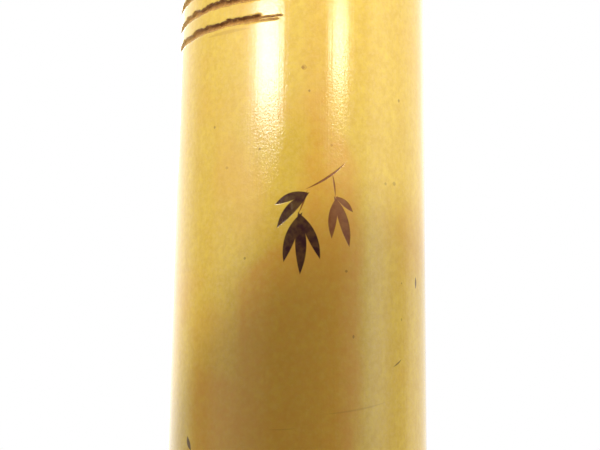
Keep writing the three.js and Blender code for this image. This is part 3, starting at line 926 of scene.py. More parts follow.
def hole_loops(scene, height, radius, side, rim):
    """Rings of a cutter that leaves a straight hole with a softly rounded rim."""
    sizes = scene.flute_culm
    skin = sizes.internode_radius - sizes.top_narrowing * height / LENGTH
    turned = angles_of(HOLE_SIDES)

    def ring(ring_radius, away):
        back = np.full(HOLE_SIDES, AXIS_Y) + side * away
        return np.column_stack([ring_radius * np.cos(turned), back, height + ring_radius * np.sin(turned)])

    def under_skin(ring_radius, depth):
        return np.sqrt(skin**2 - (ring_radius * np.cos(turned)) ** 2) - depth

    rings = [(radius + along, inset) for along, inset in rim_steps(rim, RIM_ARC)]
    last_radius, last_depth = rings[-1]
    run = OVERRUN * rim
    rings.append((last_radius + run * math.sin(RIM_ARC), last_depth - run * math.cos(RIM_ARC)))
    loops = [ring(radius, HOLE_START_SHARE * radius)]
    loops += [ring(ring_radius, under_skin(ring_radius, depth)) for ring_radius, depth in rings]
    loops.append(ring(HOLE_TAPER_SHARE * rings[-1][0], skin + HOLE_OVERRUN))
    return [loop[::-1] for loop in loops] if side > 0 else loops


def hole_cutter(scene, chosen):
    """One object that cuts the chosen holes."""
    points, faces = [], []
    rim = scene.flute_culm.hole_rim
    for height, radius, side in chosen:
        hole_points, hole_faces = loft(hole_loops(scene, height, radius, side, rim), False)
        start = sum(len(group) for group in points)
        points.append(hole_points)
        faces += [[start + corner for corner in face] for face in hole_faces]
    return new_piece("hole_cutter", np.concatenate(points), faces)


def slope_matrix(side, distance, height, slope):
    """Local X stays, local Y runs up a slope through the wall and local Z points out of it."""
    turn = Matrix.Rotation(BACK - slope, 4, "X")
    if side > 0:
        turn = Matrix.Rotation(math.pi, 4, "Z") @ turn
    return Matrix.Translation((0, AXIS_Y + side * distance, height)) @ turn


def prism(name, outline, low, high, matrix):
    """A closed block over an outline, from low to high along local Z, put in place."""
    loops = [[tuple(matrix @ Vector((x, y, level))) for x, y in outline] for level in (low, high)]
    return new_piece(name, *loft(loops, closed=False))


def edge_matrix(scene):
    mouth = scene.flute_mouth
    distance = scene.flute_bore.mouth_radius
    return slope_matrix(-1, distance, LENGTH - mouth.edge_drop, mouth.edge_slope)


def half_space(name, matrix):
    """A big block on the outer side of a slope."""
    size = BLOCK_SIZE
    outline = [(-size, -size), (size, -size), (size, size), (-size, size)]
    return prism(name, outline, 0, 2 * size, matrix)


def edge_cutter(scene):
    return half_space("edge_cutter", edge_matrix(scene))


def chin_cutter(scene, culm):
    mouth = scene.flute_mouth
    distance = float(culm.radius(BACK, LENGTH)[0])
    matrix = slope_matrix(1, distance, LENGTH - mouth.chin_bevel, mouth.chin_slope)
    return half_space("chin_cutter", matrix)


def inlay_block(scene, gap):
    mouth = scene.flute_mouth
    half_edge = mouth.inlay_edge_width / 2 + gap
    half_foot = mouth.inlay_foot_width / 2 + gap
    foot = -mouth.inlay_height - gap
    above = OVERRUN * mouth.edge_drop
    outline = [(-half_foot, foot), (half_foot, foot), (half_edge, 0), (half_edge, above)]
    outline += [(-half_edge, above), (-half_edge, 0)]
    low = -mouth.inlay_depth - gap
    return prism("inlay_block", outline, low, OVERRUN * mouth.inlay_depth, edge_matrix(scene))


# Pieces


def bore_radius(scene, height):
    sizes = scene.flute_bore
    places = [0, sizes.throat_height, JOINT, LENGTH]
    radii = [sizes.bell_radius, sizes.throat_radius, sizes.joint_radius, sizes.mouth_radius]
    return float(np.interp(height, places, radii))


def lining_radius(scene):
    return scene.flute_bore.mouth_radius + scene.flute_bore.lining_wall


def culm_seat(scene):
    return lining_radius(scene) + scene.flute_bore.seat_gap


def socket_radius(scene):
    return TENON_RADIUS + scene.flute_bore.tenon_clearance


def socket_seat(scene):
    sizes = scene.flute_bore
    return socket_radius(scene) + sizes.socket_wall + sizes.seat_gap


def binding_span(scene, name):
    """Height of a binding's channel, from low to high."""
    low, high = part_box(name)
    room = scene.flute_bands.channel_room
    return low.z - room, high.z + room


def wall_loops(radius, low, high, columns):
    """Rings of an inner wall, from high down to low."""
    return [turned_loop(radius, height, columns) for height in heights_down(high, low)]


def joint_end_loops(scene, culm, end, away, winding, ring):
    """The turned steps for a binding and a band, from the binding's far edge to the joint's face."""
    sizes = scene.flute_bands
    low, high = binding_span(scene, winding)
    far, near = (low, high) if away < 0 else (high, low)
    outer = float(culm.radius(BACK, far)[0])
    floor = box_radius(winding) - sizes.strip_inside
    rebate = RING_RADIUS - sizes.ring_wall
    ring_low, ring_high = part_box(ring)
    inner_end = ring_low.z if away < 0 else ring_high.z
    inner_end += away * scene.flute_bore.fine_gap
    steps = [(outer, far), (floor, far), (floor, near), (outer, near)]
    steps += [(outer, inner_end), (rebate, inner_end), (rebate, end)]
    return [turned_loop(radius, height, PLAIN_COLUMNS) for radius, height in steps]


def lower_skin_rows(scene, culm):
    """Height, columns and inset of each row up the lower section, finer where its detail is."""
    rounding = scene.flute_culm.root_edge_round
    grooves = scene.flute_grooves
    groove_low = culm.first_groove - grooves.width
    groove_high = culm.first_groove + grooves.count * grooves.pitch
    fine_low, fine_high = groove_low - FINE_BELOW_GROOVES, groove_high + FINE_ABOVE_GROOVES
    fine_root = culm.root_top + FINE_ABOVE_ROOT

    def spacing(height):
        if groove_low < height < groove_high:
            return GROOVE_ROW_STEP
        if culm.near_node(height):
            return NODE_ROW_STEP
        return ROOT_ROW_STEP if height < fine_root else ROW_STEP

    def columns(height):
        fine = height < fine_root or fine_low < height < fine_high
        return FINE_COLUMNS if fine else PLAIN_COLUMNS

    rows = [(up, FINE_COLUMNS, inset) for up, inset in arc_rows(0, 1, rounding)]
    heights = culm.row_heights(rounding, binding_span(scene, "lower_joint_winding")[0], spacing)
    return rows + [(up, columns(up), 0) for up in heights[:-1]]


def lower_bamboo(scene, culm):
    sizes = scene.flute_bore
    loops = culm.loops(lower_skin_rows(scene, culm))
    loops += joint_end_loops(scene, culm, LOWER_TOP, -1, "lower_joint_winding", "lower_joint_ring")
    socket_floor = TENON_LOW.z - sizes.seat_gap - sizes.socket_wall
    loops += wall_loops(socket_seat(scene), socket_floor, LOWER_TOP, PLAIN_COLUMNS)
    loops += wall_loops(culm_seat(scene), 0, socket_floor, PLAIN_COLUMNS)
    outer, inner = loops[0][::2], loops[-1]
    loops += [inner + (outer - inner) * part for part in END_FACE_SHARES]
    piece = new_piece("lower_bamboo", *loft(loops))
    cut_away(piece, [hole_cutter(scene, hole_places(scene)[:LOWER_HOLES])])
    return piece


def upper_blank_loops(scene, culm):
    """The outside of the upper section from its joint face to its mouth, uncut."""
    skin_bottom = binding_span(scene, "upper_joint_winding")[1]

    def spacing(height):
        return NODE_ROW_STEP if culm.near_node(height) else ROW_STEP

    rounding = scene.flute_culm.mouth_edge_round
    heights = culm.row_heights(skin_bottom, LENGTH - rounding, spacing)
    joint_end = joint_end_loops(scene, culm, UPPER_BOTTOM, 1, "upper_joint_winding", "upper_joint_ring")
    rows = [(up, PLAIN_COLUMNS, 0) for up in heights[1:]]
    rows += [(up, PLAIN_COLUMNS, inset) for up, inset in arc_rows(LENGTH, -1, rounding)[::-1]]
    return joint_end[::-1] + culm.loops(rows)


def upper_bamboo(scene, culm):
    loops = upper_blank_loops(scene, culm)
    tenon_seat = TENON_RADIUS + scene.flute_bore.fine_gap
    shoulder = TENON_HIGH.z + scene.flute_bore.seat_gap
    loops += wall_loops(culm_seat(scene), shoulder, LENGTH, PLAIN_COLUMNS)
    loops += wall_loops(tenon_seat, UPPER_BOTTOM, shoulder, PLAIN_COLUMNS)
    piece = new_piece("upper_bamboo", *loft(loops))
    cutters = [
        hole_cutter(scene, hole_places(scene)[LOWER_HOLES:]),
        edge_cutter(scene),
        chin_cutter(scene, culm),
        inlay_block(scene, scene.flute_mouth.inlay_gap),
    ]
    cut_away(piece, cutters)
    return piece


def lining_end(radius, end, away, lip):
    """The rounded lip at an end of a lining, from its face to its inner wall."""
    return [(radius + inset, end + away * along) for along, inset in rim_steps(lip)]


def bore_wall(scene, high, low):
    """Radius and height pairs down the bore."""
    return [(bore_radius(scene, height), height) for height in heights_down(high, low)]


def lower_lining(scene):
    sizes = scene.flute_bore
    outer = culm_seat(scene) - sizes.fine_gap
    wide = socket_seat(scene) - sizes.fine_gap
    floor = TENON_LOW.z - sizes.seat_gap
    step = floor - sizes.socket_wall + sizes.fine_gap
    low = sizes.fine_gap
    lip = sizes.lip_round
    profile = [(outer, low), (outer, step), (wide, step), (wide, LOWER_TOP)]
    profile += lining_end(socket_radius(scene), LOWER_TOP, -1, lip)
    profile += [(socket_radius(scene), floor)]
    profile += bore_wall(scene, floor, low + lip)
    profile += lining_end(sizes.bell_radius, low, 1, lip)[-2::-1]
    piece = turned_piece("lower_bore_lacquer", profile)
    cut_away(piece, [hole_cutter(scene, hole_places(scene)[:LOWER_HOLES])])
    return piece


def upper_lining(scene):
    sizes = scene.flute_bore
    outer = culm_seat(scene) - sizes.fine_gap
    inner = TENON_RADIUS - sizes.tenon_wall - sizes.fine_gap
    shoulder = TENON_HIGH.z + sizes.seat_gap + sizes.fine_gap
    profile = [(inner, TENON_LOW.z), (inner, shoulder), (outer, shoulder), (outer, LENGTH)]
    profile += lining_end(sizes.mouth_radius, LENGTH, -1, sizes.lip_round)
    profile += bore_wall(scene, LENGTH - sizes.lip_round, TENON_LOW.z)[1:]
    piece = turned_piece("upper_bore_lacquer", profile)
    cutters = [hole_cutter(scene, hole_places(scene)[LOWER_HOLES:]), edge_cutter(scene)]
    cutters.append(inlay_block(scene, scene.flute_mouth.inlay_gap))
    cut_away(piece, cutters)
    return piece


def tenon_tube(scene):
    sizes = scene.flute_bore
    inner = TENON_RADIUS - sizes.tenon_wall
    tip = [(TENON_RADIUS - inset, up) for up, inset in arc_rows(TENON_LOW.z, 1, sizes.tenon_round)]
    profile = [*tip, (TENON_RADIUS, TENON_LOW.z + sizes.tenon_round), (TENON_RADIUS, TENON_HIGH.z)]
    profile += [(inner, TENON_HIGH.z), (inner, TENON_LOW.z)]
    piece = turned_piece("tenon_tube", profile)
    cut_away(piece, [hole_cutter(scene, hole_places(scene)[TENON_HOLES])])
    return piece


def silver_band(scene, name, node):
    """A band with its four edges rounded."""
    sizes = scene.flute_bands
    low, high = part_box(node)
    soft = sizes.ring_round
    outer, inner = RING_RADIUS - soft, RING_RADIUS - sizes.ring_wall + soft
    corners = [(outer, low.z + soft), (outer, high.z - soft), (inner, high.z - soft), (inner, low.z + soft)]
    profile = []
    for place, (radius, height) in enumerate(corners):
        for step in range(ARC_STEPS + 1):
            turned = BACK * (place - 1 + step / ARC_STEPS)
            profile.append((radius + soft * math.cos(turned), height + soft * math.sin(turned)))
    return turned_piece(name, profile)


def rattan_binding(scene, name, node):
    """One strip wound into its channel, its first and last turn pared down to lie level."""
    sizes = scene.flute_bands
    low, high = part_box(node)
    outer = box_radius(node)
    width = sizes.strip_pitch - sizes.strip_gap
    thin = PARED_SHARE * width
    climb = high.z - low.z + width - 2 * thin
    steps = round(STRIP_STEPS * climb / sizes.strip_pitch)
    loops = []
    for step in range(steps + 1):
        rise = thin + climb * step / steps
        middle = low.z - width / 2 + rise
        bottom = max(low.z, middle - width / 2)
        top = min(high.z, middle + width / 2)
        around = TURN * rise / sizes.strip_pitch
        section = [(outer - sizes.strip_inside, top)]
        for place in range(CROWN_STEPS + 1):
            part = place / CROWN_STEPS
            drop = sizes.strip_crown * (top - bottom) / width * (2 * part - 1) ** CROWN_POWER
            section.append((outer - drop, top + (bottom - top) * part))
        section.append((outer - sizes.strip_inside, bottom))
        points = [(r * math.cos(around), AXIS_Y + r * math.sin(around), z) for r, z in section]
        loops.append(np.array(points))
    return new_piece(name, *loft(loops, closed=False))


def horn_inlay(scene, culm):
    """The horn let into the blowing edge: a block, kept where it lies inside the culm's wall."""
    heights = np.arange(LENGTH - HORN_CULM, LENGTH + ROW_STEP, ROW_STEP)
    rows = [(height, PLAIN_COLUMNS, 0) for height in heights]
    blank = new_piece("horn_blank", *loft(culm.loops(rows), closed=False))
    high, low = LENGTH + ROW_STEP, LENGTH - HORN_BORE
    wall = [turned_loop(bore_radius(scene, height), height, TURNED_SIDES) for height in (low, high)]
    bore = new_piece("bore", *loft(wall, closed=False))
    piece = inlay_block(scene, 0)
    piece.name = "horn_inlay"
    boolean(piece, [blank], "INTERSECT")
    remove([blank])
    cut_away(piece, [bore, edge_cutter(scene)])
    return piece


# Dressing


def around_culm(places):
    """Angle and radius of points about the middle of the culm's outside."""
    back = places[:, 1] - middle_y(places[:, 2])
    return np.arctan2(back, places[:, 0]), np.hypot(places[:, 0], back)


def face_vectors(piece, name):
    values = np.empty(3 * len(piece.data.polygons), np.float32)
    piece.data.polygons.foreach_get(name, values)
    return values.reshape(-1, 3).astype(float)


def bamboo_slots(scene, culm, piece):
    """0 for skin, 1 for cut bamboo and 2 for the lacquered channels at the joint, face by face."""
    centres = face_vectors(piece, "center")
    normals = face_vectors(piece, "normal")
    height = centres[:, 2]
    turned, radius = around_culm(centres)
    outward = normals[:, 0] * np.cos(turned) + normals[:, 1] * np.sin(turned)
    skin = (abs(radius - culm.radius(turned, height)) < SKIN_DEPTH) & (outward > SKIN_LEAN)
    for hole_height, hole_radius, side in hole_places(scene):
        on_side = (centres[:, 1] - AXIS_Y) * side > 0
        reach = hole_radius + RIM_SHARE * scene.flute_culm.hole_rim
        skin &= ~(on_side & (np.hypot(centres[:, 0], height - hole_height) < reach))
    low = binding_span(scene, "lower_joint_winding")[0]
    high = binding_span(scene, "upper_joint_winding")[1]
    channel = (height > low - HAIR) & (height < high + HAIR)
    channel &= radius > RING_RADIUS - CHANNEL_SHARE * scene.flute_bands.ring_wall
    return np.where(skin, 0, np.where(channel, 2, 1))


def dress_bamboo(scene, culm, piece, materials):
    """Materials by place, and the masks that the skin's finish reads."""
    places = positions(piece)
    turned, _ = around_culm(places)
    height = places[:, 2]
    _, dark, across = culm.groove_field(turned, height)
    _, stub = culm.stub_field(turned, height)
    scar, ridge = culm.scar_field(turned, height)
    masks = {"groove": dark, "groove_side": across, "stub": stub, "scar": scar, "ridge": ridge}
    for name, values in masks.items():
        add_attribute(piece, name, values)
    piece.data.materials.clear()
    for material in materials:
        piece.data.materials.append(material)
    slots = bamboo_slots(scene, culm, piece).astype(np.int32)
    piece.data.polygons.foreach_set("material_index", slots)
    shade_smooth(piece)


def dress(piece, material, sharp_degrees=SHARP):
    piece.data.materials.clear()
    piece.data.materials.append(material)
    shade_smooth(piece, sharp_degrees)


def place_piece(piece, body, node):
    """Lets the piece ride on its body and stand for its CAD node."""
    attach(piece, body)
    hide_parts(node)


# Shader nodes


class Shader:
    """Short ways to add nodes to a material or a group and to join them."""

    def __init__(self, tree):
        self.tree = tree

    def feed(self, socket, value):
        if isinstance(value, bpy.types.NodeSocket):
            self.tree.links.new(value, socket)
        elif socket.type == "RGBA":
            socket.default_value = (*tuple(value)[:3], 1)
        else:
            socket.default_value = value

    def add(self, kind, inputs=None, **settings):
        node = self.tree.nodes.new(kind)
        for name, value in settings.items():
            setattr(node, name, value)
        for name, value in (inputs or {}).items():
            self.feed(node.inputs[name], value)
        return node

    def math(self, operation, *values):
        return self.add("ShaderNodeMath", dict(enumerate(values)), operation=operation).outputs[0]

    def times(self, value, factor):
        return self.math("MULTIPLY", value, factor)

    def plus(self, value, other):
        return self.math("ADD", value, other)

    def minus(self, value, other):
        return self.math("SUBTRACT", value, other)

    def vector(self, operation, *values):
        inputs = dict(enumerate(values))
        return self.add("ShaderNodeVectorMath", inputs, operation=operation).outputs[0]

    def scale(self, point, factors):
        return self.vector("MULTIPLY", point, factors)

    def millimetres(self):
        """The point's own place, in millimetres."""
        return self.scale(self.add("ShaderNodeTexCoord").outputs["Object"], (1 / MM,) * 3)

    def ease(self, value, low, high, start=0.0, end=1.0):
        """start under low, end over high and an even ease between them."""
        inputs = dict(enumerate((value, low, high, start, end)))
        return self.add("ShaderNodeMapRange", inputs, interpolation_type="SMOOTHSTEP").outputs[0]

    def mix(self, part, low, high):
        node = self.add("ShaderNodeMix", data_type="RGBA")
        for place, value in ((0, part), (6, low), (7, high)):
            self.feed(node.inputs[place], value)
        return node.outputs[2]

    def noise(self, point, size, detail=2.0, roughness=0.5):
        """Noise whose lumps are about size millimetres across."""
        inputs = {"Vector": point, "Scale": 1 / size, "Detail": detail, "Roughness": roughness}
        return self.add("ShaderNodeTexNoise", inputs).outputs[0]

    def attribute(self, name):
        return self.add("ShaderNodeAttribute", attribute_name=name).outputs["Fac"]

    def group(self, name, **inputs):
        node = self.add("ShaderNodeGroup", node_tree=node_group(name))
        for title, value in inputs.items():
            self.feed(node.inputs[title.replace("_", " ")], value)
        return node.outputs

    def reach(self, vector):
        return self.add("ShaderNodeVectorMath", {0: vector}, operation="LENGTH").outputs["Value"]

    def fold(self, operation, values):
        """Values joined one after the other by the same operation."""
        joined = values[0]
        for value in values[1:]:
            joined = self.math(operation, joined, value)
        return joined

    def most(self, values):
        return self.fold("MAXIMUM", values)

    def total(self, *rows):
        """Values added up, each times its weight."""
        return self.fold("ADD", [self.times(value, weight) for value, weight in rows])

    def lay(self, tone, mask, part, colour):
        """The tone with a colour laid over it where the mask is, to the part given."""
        return self.mix(self.times(mask, part), tone, colour)

    def seen(self):
        """1 for the camera, mirrors and clear things, and 0 for light."""
        rays = self.add("ShaderNodeLightPath").outputs
        return self.most([rays["Is Camera Ray"], rays["Is Glossy Ray"], rays["Is Transmission Ray"]])

    def clear(self):
        return self.add("ShaderNodeBsdfTransparent").outputs[0]

    def light(self, colour, strength):
        return self.add("ShaderNodeEmission", {"Color": colour, "Strength": strength}).outputs[0]

    def blend(self, part, under, over):
        """One shader over a part of another."""
        return self.add("ShaderNodeMixShader", {0: part, 1: under, 2: over}).outputs[0]

    def show(self, surface):
        """Makes a shader the one that the material shows."""
        self.feed(self.tree.nodes["Material Output"].inputs["Surface"], surface)


def place_group(shader, _):
    """Where a point is, in millimetres: in space, and unrolled round the culm from its back."""
    point = shader.vector("SUBTRACT", shader.millimetres(), (0, AXIS_Y / MM, 0))
    parts = shader.add("ShaderNodeSeparateXYZ", {"Vector": point}).outputs
    left = shader.times(parts["X"], -1)
    around = shader.times(shader.math("ARCTAN2", left, parts["Y"]), UNROLL_RADIUS)
    unrolled = shader.add("ShaderNodeCombineXYZ", {"X": around, "Y": parts["Z"]}).outputs[0]
    return {"Point": point, "Around": around, "Height": parts["Z"], "Unrolled": unrolled}


def fibres_group(shader, given):
    """Streaks along the height."""
    thin = shader.math("DIVIDE", 1, given["Width"])
    long = shader.math("DIVIDE", 1, given["Length"])
    scale = shader.add("ShaderNodeCombineXYZ", {"X": thin, "Y": thin, "Z": long}).outputs[0]
    streaks = shader.noise(shader.scale(given["Point"], scale), 1, 3, 0.55)
    return {"Mask": shader.ease(streaks, 0.3, 0.7)}


def specks_group(shader, given):
    """Round specks at random, a share of the cells of a given spacing."""
    scale = shader.math("DIVIDE", 1, given["Spacing"])
    cells = shader.add("ShaderNodeTexVoronoi", {"Vector": given["Point"], "Scale": scale}).outputs
    chance = shader.add("ShaderNodeSeparateColor", {"Color": cells["Color"]}).outputs
    size = shader.times(shader.times(given["Size"], scale), chance["Green"])
    spot = shader.ease(cells["Distance"], size, shader.times(size, 0.5))
    chosen = shader.math("LESS_THAN", chance["Red"], given["Share"])
    return {"Mask": shader.times(spot, chosen)}


def wear_group(shader, given):
    """Where edges stand out and hands have rubbed them."""
    bend = shader.add("ShaderNodeNewGeometry").outputs["Pointiness"]
    rubbed = shader.noise(given["Point"], 1.5, 3)
    worn = shader.ease(shader.plus(bend, shader.times(rubbed, 0.06)), 0.54, 0.6)
    return {"Mask": worn}


def stroke_group(shader, given):
    """A stroke pointed at both ends and bent in the middle, on the unrolled culm."""
    inputs = {"Vector": given["Unrolled"], "Location": given["Centre"]}
    inputs.update({"Rotation": given["Turn"], "Scale": given["Half size"]})
    mapping = shader.add("ShaderNodeMapping", inputs, vector_type="TEXTURE").outputs[0]
    parts = shader.add("ShaderNodeSeparateXYZ", {"Vector": mapping}).outputs
    along = shader.times(parts["X"], parts["X"])
    across = shader.minus(parts["Y"], shader.times(given["Bend"], along))
    inside = shader.minus(shader.minus(1, along), shader.math("ABSOLUTE", across))
    return {"Mask": shader.ease(inside, shader.times(given["Softness"], -1), given["Softness"])}


# The node groups: what builds each, its inputs with their defaults, and its outputs
POINT = ("Point", "Vector", (0, 0, 0))
GROUPS = {
    "Place on the culm": (
        place_group,
        [],
        {"Point": "Vector", "Around": "Float", "Height": "Float", "Unrolled": "Vector"},
    ),
    "Fibres": (
        fibres_group,
        [POINT, ("Width", "Float", 0.4), ("Length", "Float", 20)],
        {"Mask": "Float"},
    ),
    "Specks": (
        specks_group,
        [POINT, ("Spacing", "Float", 4), ("Size", "Float", 0.3), ("Share", "Float", 0.3)],
        {"Mask": "Float"},
    ),
    "Wear": (wear_group, [POINT], {"Mask": "Float"}),
    "Stroke": (
        stroke_group,
        [
            ("Unrolled", "Vector", (0, 0, 0)),
            ("Centre", "Vector", (0, 0, 0)),
            ("Turn", "Vector", (0, 0, 0)),
            ("Half size", "Vector", (1, 1, 1)),
            ("Bend", "Float", 0),
            ("Softness", "Float", 0.3),
        ],
        {"Mask": "Float"},
    ),
}


def node_group(name):
    """The node group of that name, built the first time it is asked for."""
    if name in bpy.data.node_groups:
        return bpy.data.node_groups[name]
    build, takes, gives = GROUPS[name]
    tree = bpy.data.node_groups.new(name, "ShaderNodeTree")
    for title, kind, value in takes:
        socket = tree.interface.new_socket(title, in_out="INPUT", socket_type=f"NodeSocket{kind}")
        socket.default_value = value
    for title, kind in gives.items():
        tree.interface.new_socket(title, in_out="OUTPUT", socket_type=f"NodeSocket{kind}")
    shader = Shader(tree)
    given = shader.add("NodeGroupInput").outputs
    sink = shader.add("NodeGroupOutput")
    for title, value in build(shader, given).items():
        shader.feed(sink.inputs[title], value)
    return tree


def new_finish(name):
    """A new material, the short ways to add to it, and its main shader."""
    material = bpy.data.materials.new(name)
    material.use_nodes = True
    return material, Shader(material.node_tree), material.node_tree.nodes["Principled BSDF"]


def finish(shader, main, colour, roughness, height=None, metallic=None):
    """Feeds the main shader, with the bumps' height in millimetres."""
    shader.feed(main.inputs["Base Color"], colour)
    shader.feed(main.inputs["Roughness"], roughness)
    if metallic is not None:
        shader.feed(main.inputs["Metallic"], metallic)
    if height is not None:
        bump = shader.add("ShaderNodeBump", {"Height": height, "Strength": 1, "Distance": MM})
        shader.feed(main.inputs["Normal"], bump.outputs[0])


# Finishes


def strokes(shader, unrolled, table, middle=(0, 0)):
    """The strokes of a table together: where each starts, its degrees, length, width and bend."""
    masks = []
    for across, up, degrees, long, wide, bend in table:
        turned = degrees * DEGREE
        centre = Vector((middle[0] + across, middle[1] + up, 0))
        centre += Vector((math.cos(turned), math.sin(turned), 0)) * (long / 2)
        masks.append(
            shader.group(
                "Stroke",
                Unrolled=unrolled,
                Centre=centre,
                Turn=(0, 0, turned),
                Half_size=(long / 2, wide / 2, 1),
                Bend=2 * bend / wide,
                Softness=min(0.5, 2 * STROKE_BLUR / wide),
            )[0]
        )
    return shader.most(masks)


def painted_shadow_and_patina(shader, place):
    """Where the back is darker: a painted shadow over some handled patina, a middle with firm sides, and
    more of it further down.
    """
    point, height = place["Point"], place["Height"]
    uneven = shader.times(shader.minus(shader.noise(point, 5, 3), 0.5), 3)
    around = shader.plus(place["Around"], uneven)
    risen = shader.plus(height, shader.times(uneven, 1.5))
    edge = shader.ease(height, *PAINTED_SHADOW_LEFT)
    middle = shader.ease(shader.minus(around, edge), -1.6, 1.4)
    lower = shader.most([shader.ease(risen, 155, 150.5, 0, 0.45), shader.ease(risen, 149, 142)])
    beside = shader.times(lower, shader.ease(around, -17.5, -13.5))
    left = shader.most([middle, beside])
    edge = shader.ease(height, *PAINTED_SHADOW_RIGHT)
    right = shader.ease(shader.minus(around, edge), 0, -2.6)
    across = shader.times(left, right)
    under = shader.ease(risen, 162, 190, 1, 0.3)
    along = shader.times(shader.ease(height, 55, 100), shader.ease(height, 235, 190))
    return shader.times(shader.times(across, under), along)


def lively(shader, place):
    """Everywhere but the plain, even stretch of skin round the leaf ornament."""
    beside = shader.ease(shader.math("ABSOLUTE", place["Around"]), 31, 44)
    below = shader.ease(place["Height"], 130, 106)
    above = shader.ease(place["Height"], 197, 222)
    return shader.most([beside, below, above])


def aged_tones(look, shader, place, tone):
    """Smoke and sap: warm clouds, brown streaks and hairlines along the fibres, and freckles."""
    point, much = place["Point"], lively(shader, place)
    cloud = shader.noise(shader.scale(point, (1, 1, 0.3)), 8, 5, 0.62)
    streak = shader.group("Fibres", Point=point, Width=2.2, Length=150)[0]
    hairline = shader.group("Fibres", Point=point, Width=0.22, Length=55)[0]
    freckle = shader.group("Specks", Point=point, Spacing=2.1, Size=0.5, Share=0.2)[0]
    pale = shader.noise(shader.scale(point, (1, 1, 0.2)), 5, 4, 0.6)
    layers = [
        (0.35, look.skin_deep),
        (shader.ease(pale, 0.5, 0.68, 0, 0.3), look.skin_pale),
        (shader.ease(cloud, 0.47, 0.66, 0, 0.55), look.skin_warm),
        (shader.ease(streak, 0.5, 0.95, 0, 0.4), look.skin_green),
        (shader.ease(streak, 0.75, 1, 0, 0.35), look.skin_root),
        (shader.ease(hairline, 0.6, 0.95, 0, 0.3), look.skin_root),
        (shader.times(freckle, 0.35), look.skin_root),
    ]
    for part, shade in layers:
        tone = shader.lay(tone, part, much, shade)
    return tone


def root_tones(look, shader, place, tone):
    """The brown root end and its dark blotches."""
    point = place["Point"]
    uneven = shader.times(shader.noise(point, 9, 3), 30)
    low = shader.ease(shader.plus(place["Height"], uneven), 100, 30)
    tone = shader.lay(tone, low, 0.85, look.skin_root)
    blotch = shader.ease(shader.noise(point, 3.2, 5, 0.68), 0.44, 0.66, 0, 0.55)
    return shader.lay(tone, blotch, low, look.cut_dark)


def skin_tones(look, shader, place):
    """The cured skin, its fibres, patches, painted shadow and handled patina on the back, age and root, and
    the fine fibres' mask.
    """
    point = place["Point"]
    fine = shader.group("Fibres", Point=point, Width=0.35, Length=22)[0]
    broad = shader.group("Fibres", Point=point, Width=1.7, Length=70)[0]
    tone = shader.lay(look.skin, broad, 0.34, look.skin_pale)
    tone = shader.lay(tone, fine, 0.11, look.skin_deep)
    leather = shader.noise(shader.scale(point, (1, 1, 0.8)), 0.7, 3, 0.65)
    tone = shader.mix(shader.ease(leather, 0.36, 0.66, 0, 0.56), tone, look.skin_deep)
    for size, detail, roughness, low, high, part, field in SKIN_PATCHES:
        patch = shader.ease(shader.noise(point, size, detail, roughness), low, high, 0, part)
        tone = shader.mix(patch, tone, getattr(look, field))
    # How much of the painted shadow and handled patina is laid on, unevenly
    rubbed = shader.ease(shader.noise(point, 1.1, 5, 0.75), 0.3, 0.7, 0.42, 0.74)
    tone = shader.lay(tone, painted_shadow_and_patina(shader, place), rubbed, look.patina_and_shade)
    tone = aged_tones(look, shader, place, tone)
    return root_tones(look, shader, place, tone), fine


def marked_tones(look, shader, place, tone):
    """Specks at random, and the dots and scratches that have places of their own."""
    specks = shader.group("Specks", Point=place["Point"], Spacing=3.4, Size=0.3, Share=0.16)[0]
    tone = shader.lay(tone, specks, 0.45, look.scar)
    for field, part, table in MARKS.values():
        marks = strokes(shader, place["Unrolled"], table)
        tone = shader.lay(tone, marks, part, getattr(look, field))
    return tone


def node_tones(look, shader, place, tone, grain):
    """Browned ridges and dark sheath scars, and the scars' mask."""
    ridge = shader.times(shader.attribute("ridge"), shader.noise(place["Point"], 3, 3))
    tone = shader.lay(tone, ridge, 0.5, look.skin_root)
    line = shader.plus(shader.attribute("scar"), shader.times(grain, 0.5))
    scar = shader.ease(line, 0.75, 1.15)
    return shader.lay(tone, scar, 0.85, look.scar), scar


def rootlet_tones(look, shader, tone, grain):
    """Trimmed rootlets with their dark hearts, and the mask of the dark rings round them."""
    stub = shader.attribute("stub")
    ring = shader.ease(shader.plus(stub, shader.times(grain, 0.06)), 0.12, 0.3)
    tone = shader.lay(tone, ring, 0.8, look.scar)
    cut = shader.mix(shader.plus(grain, -0.15), look.cut, look.skin_root)
    core = shader.mix(shader.ease(stub, 0.72, 0.95), cut, look.scar)
    return shader.mix(shader.ease(stub, 0.4, 0.5), tone, core), ring


def ornament_tones(look, shader, place, tone):
    """The burnt-in sprig of leaves, and its mask."""
    leaves = strokes(shader, place["Unrolled"], LEAVES, ORNAMENT_MIDDLE)
    lines = strokes(shader, place["Unrolled"], LEAF_LINES, ORNAMENT_MIDDLE)
    burn = shader.ease(shader.noise(place["Point"], 0.8, 3), 0.3, 0.7, 0.9, 1)
    tone = shader.lay(tone, lines, burn, look.ornament_thin)
    tone = shader.lay(tone, leaves, burn, look.ornament)
    return tone, shader.most([leaves, lines])


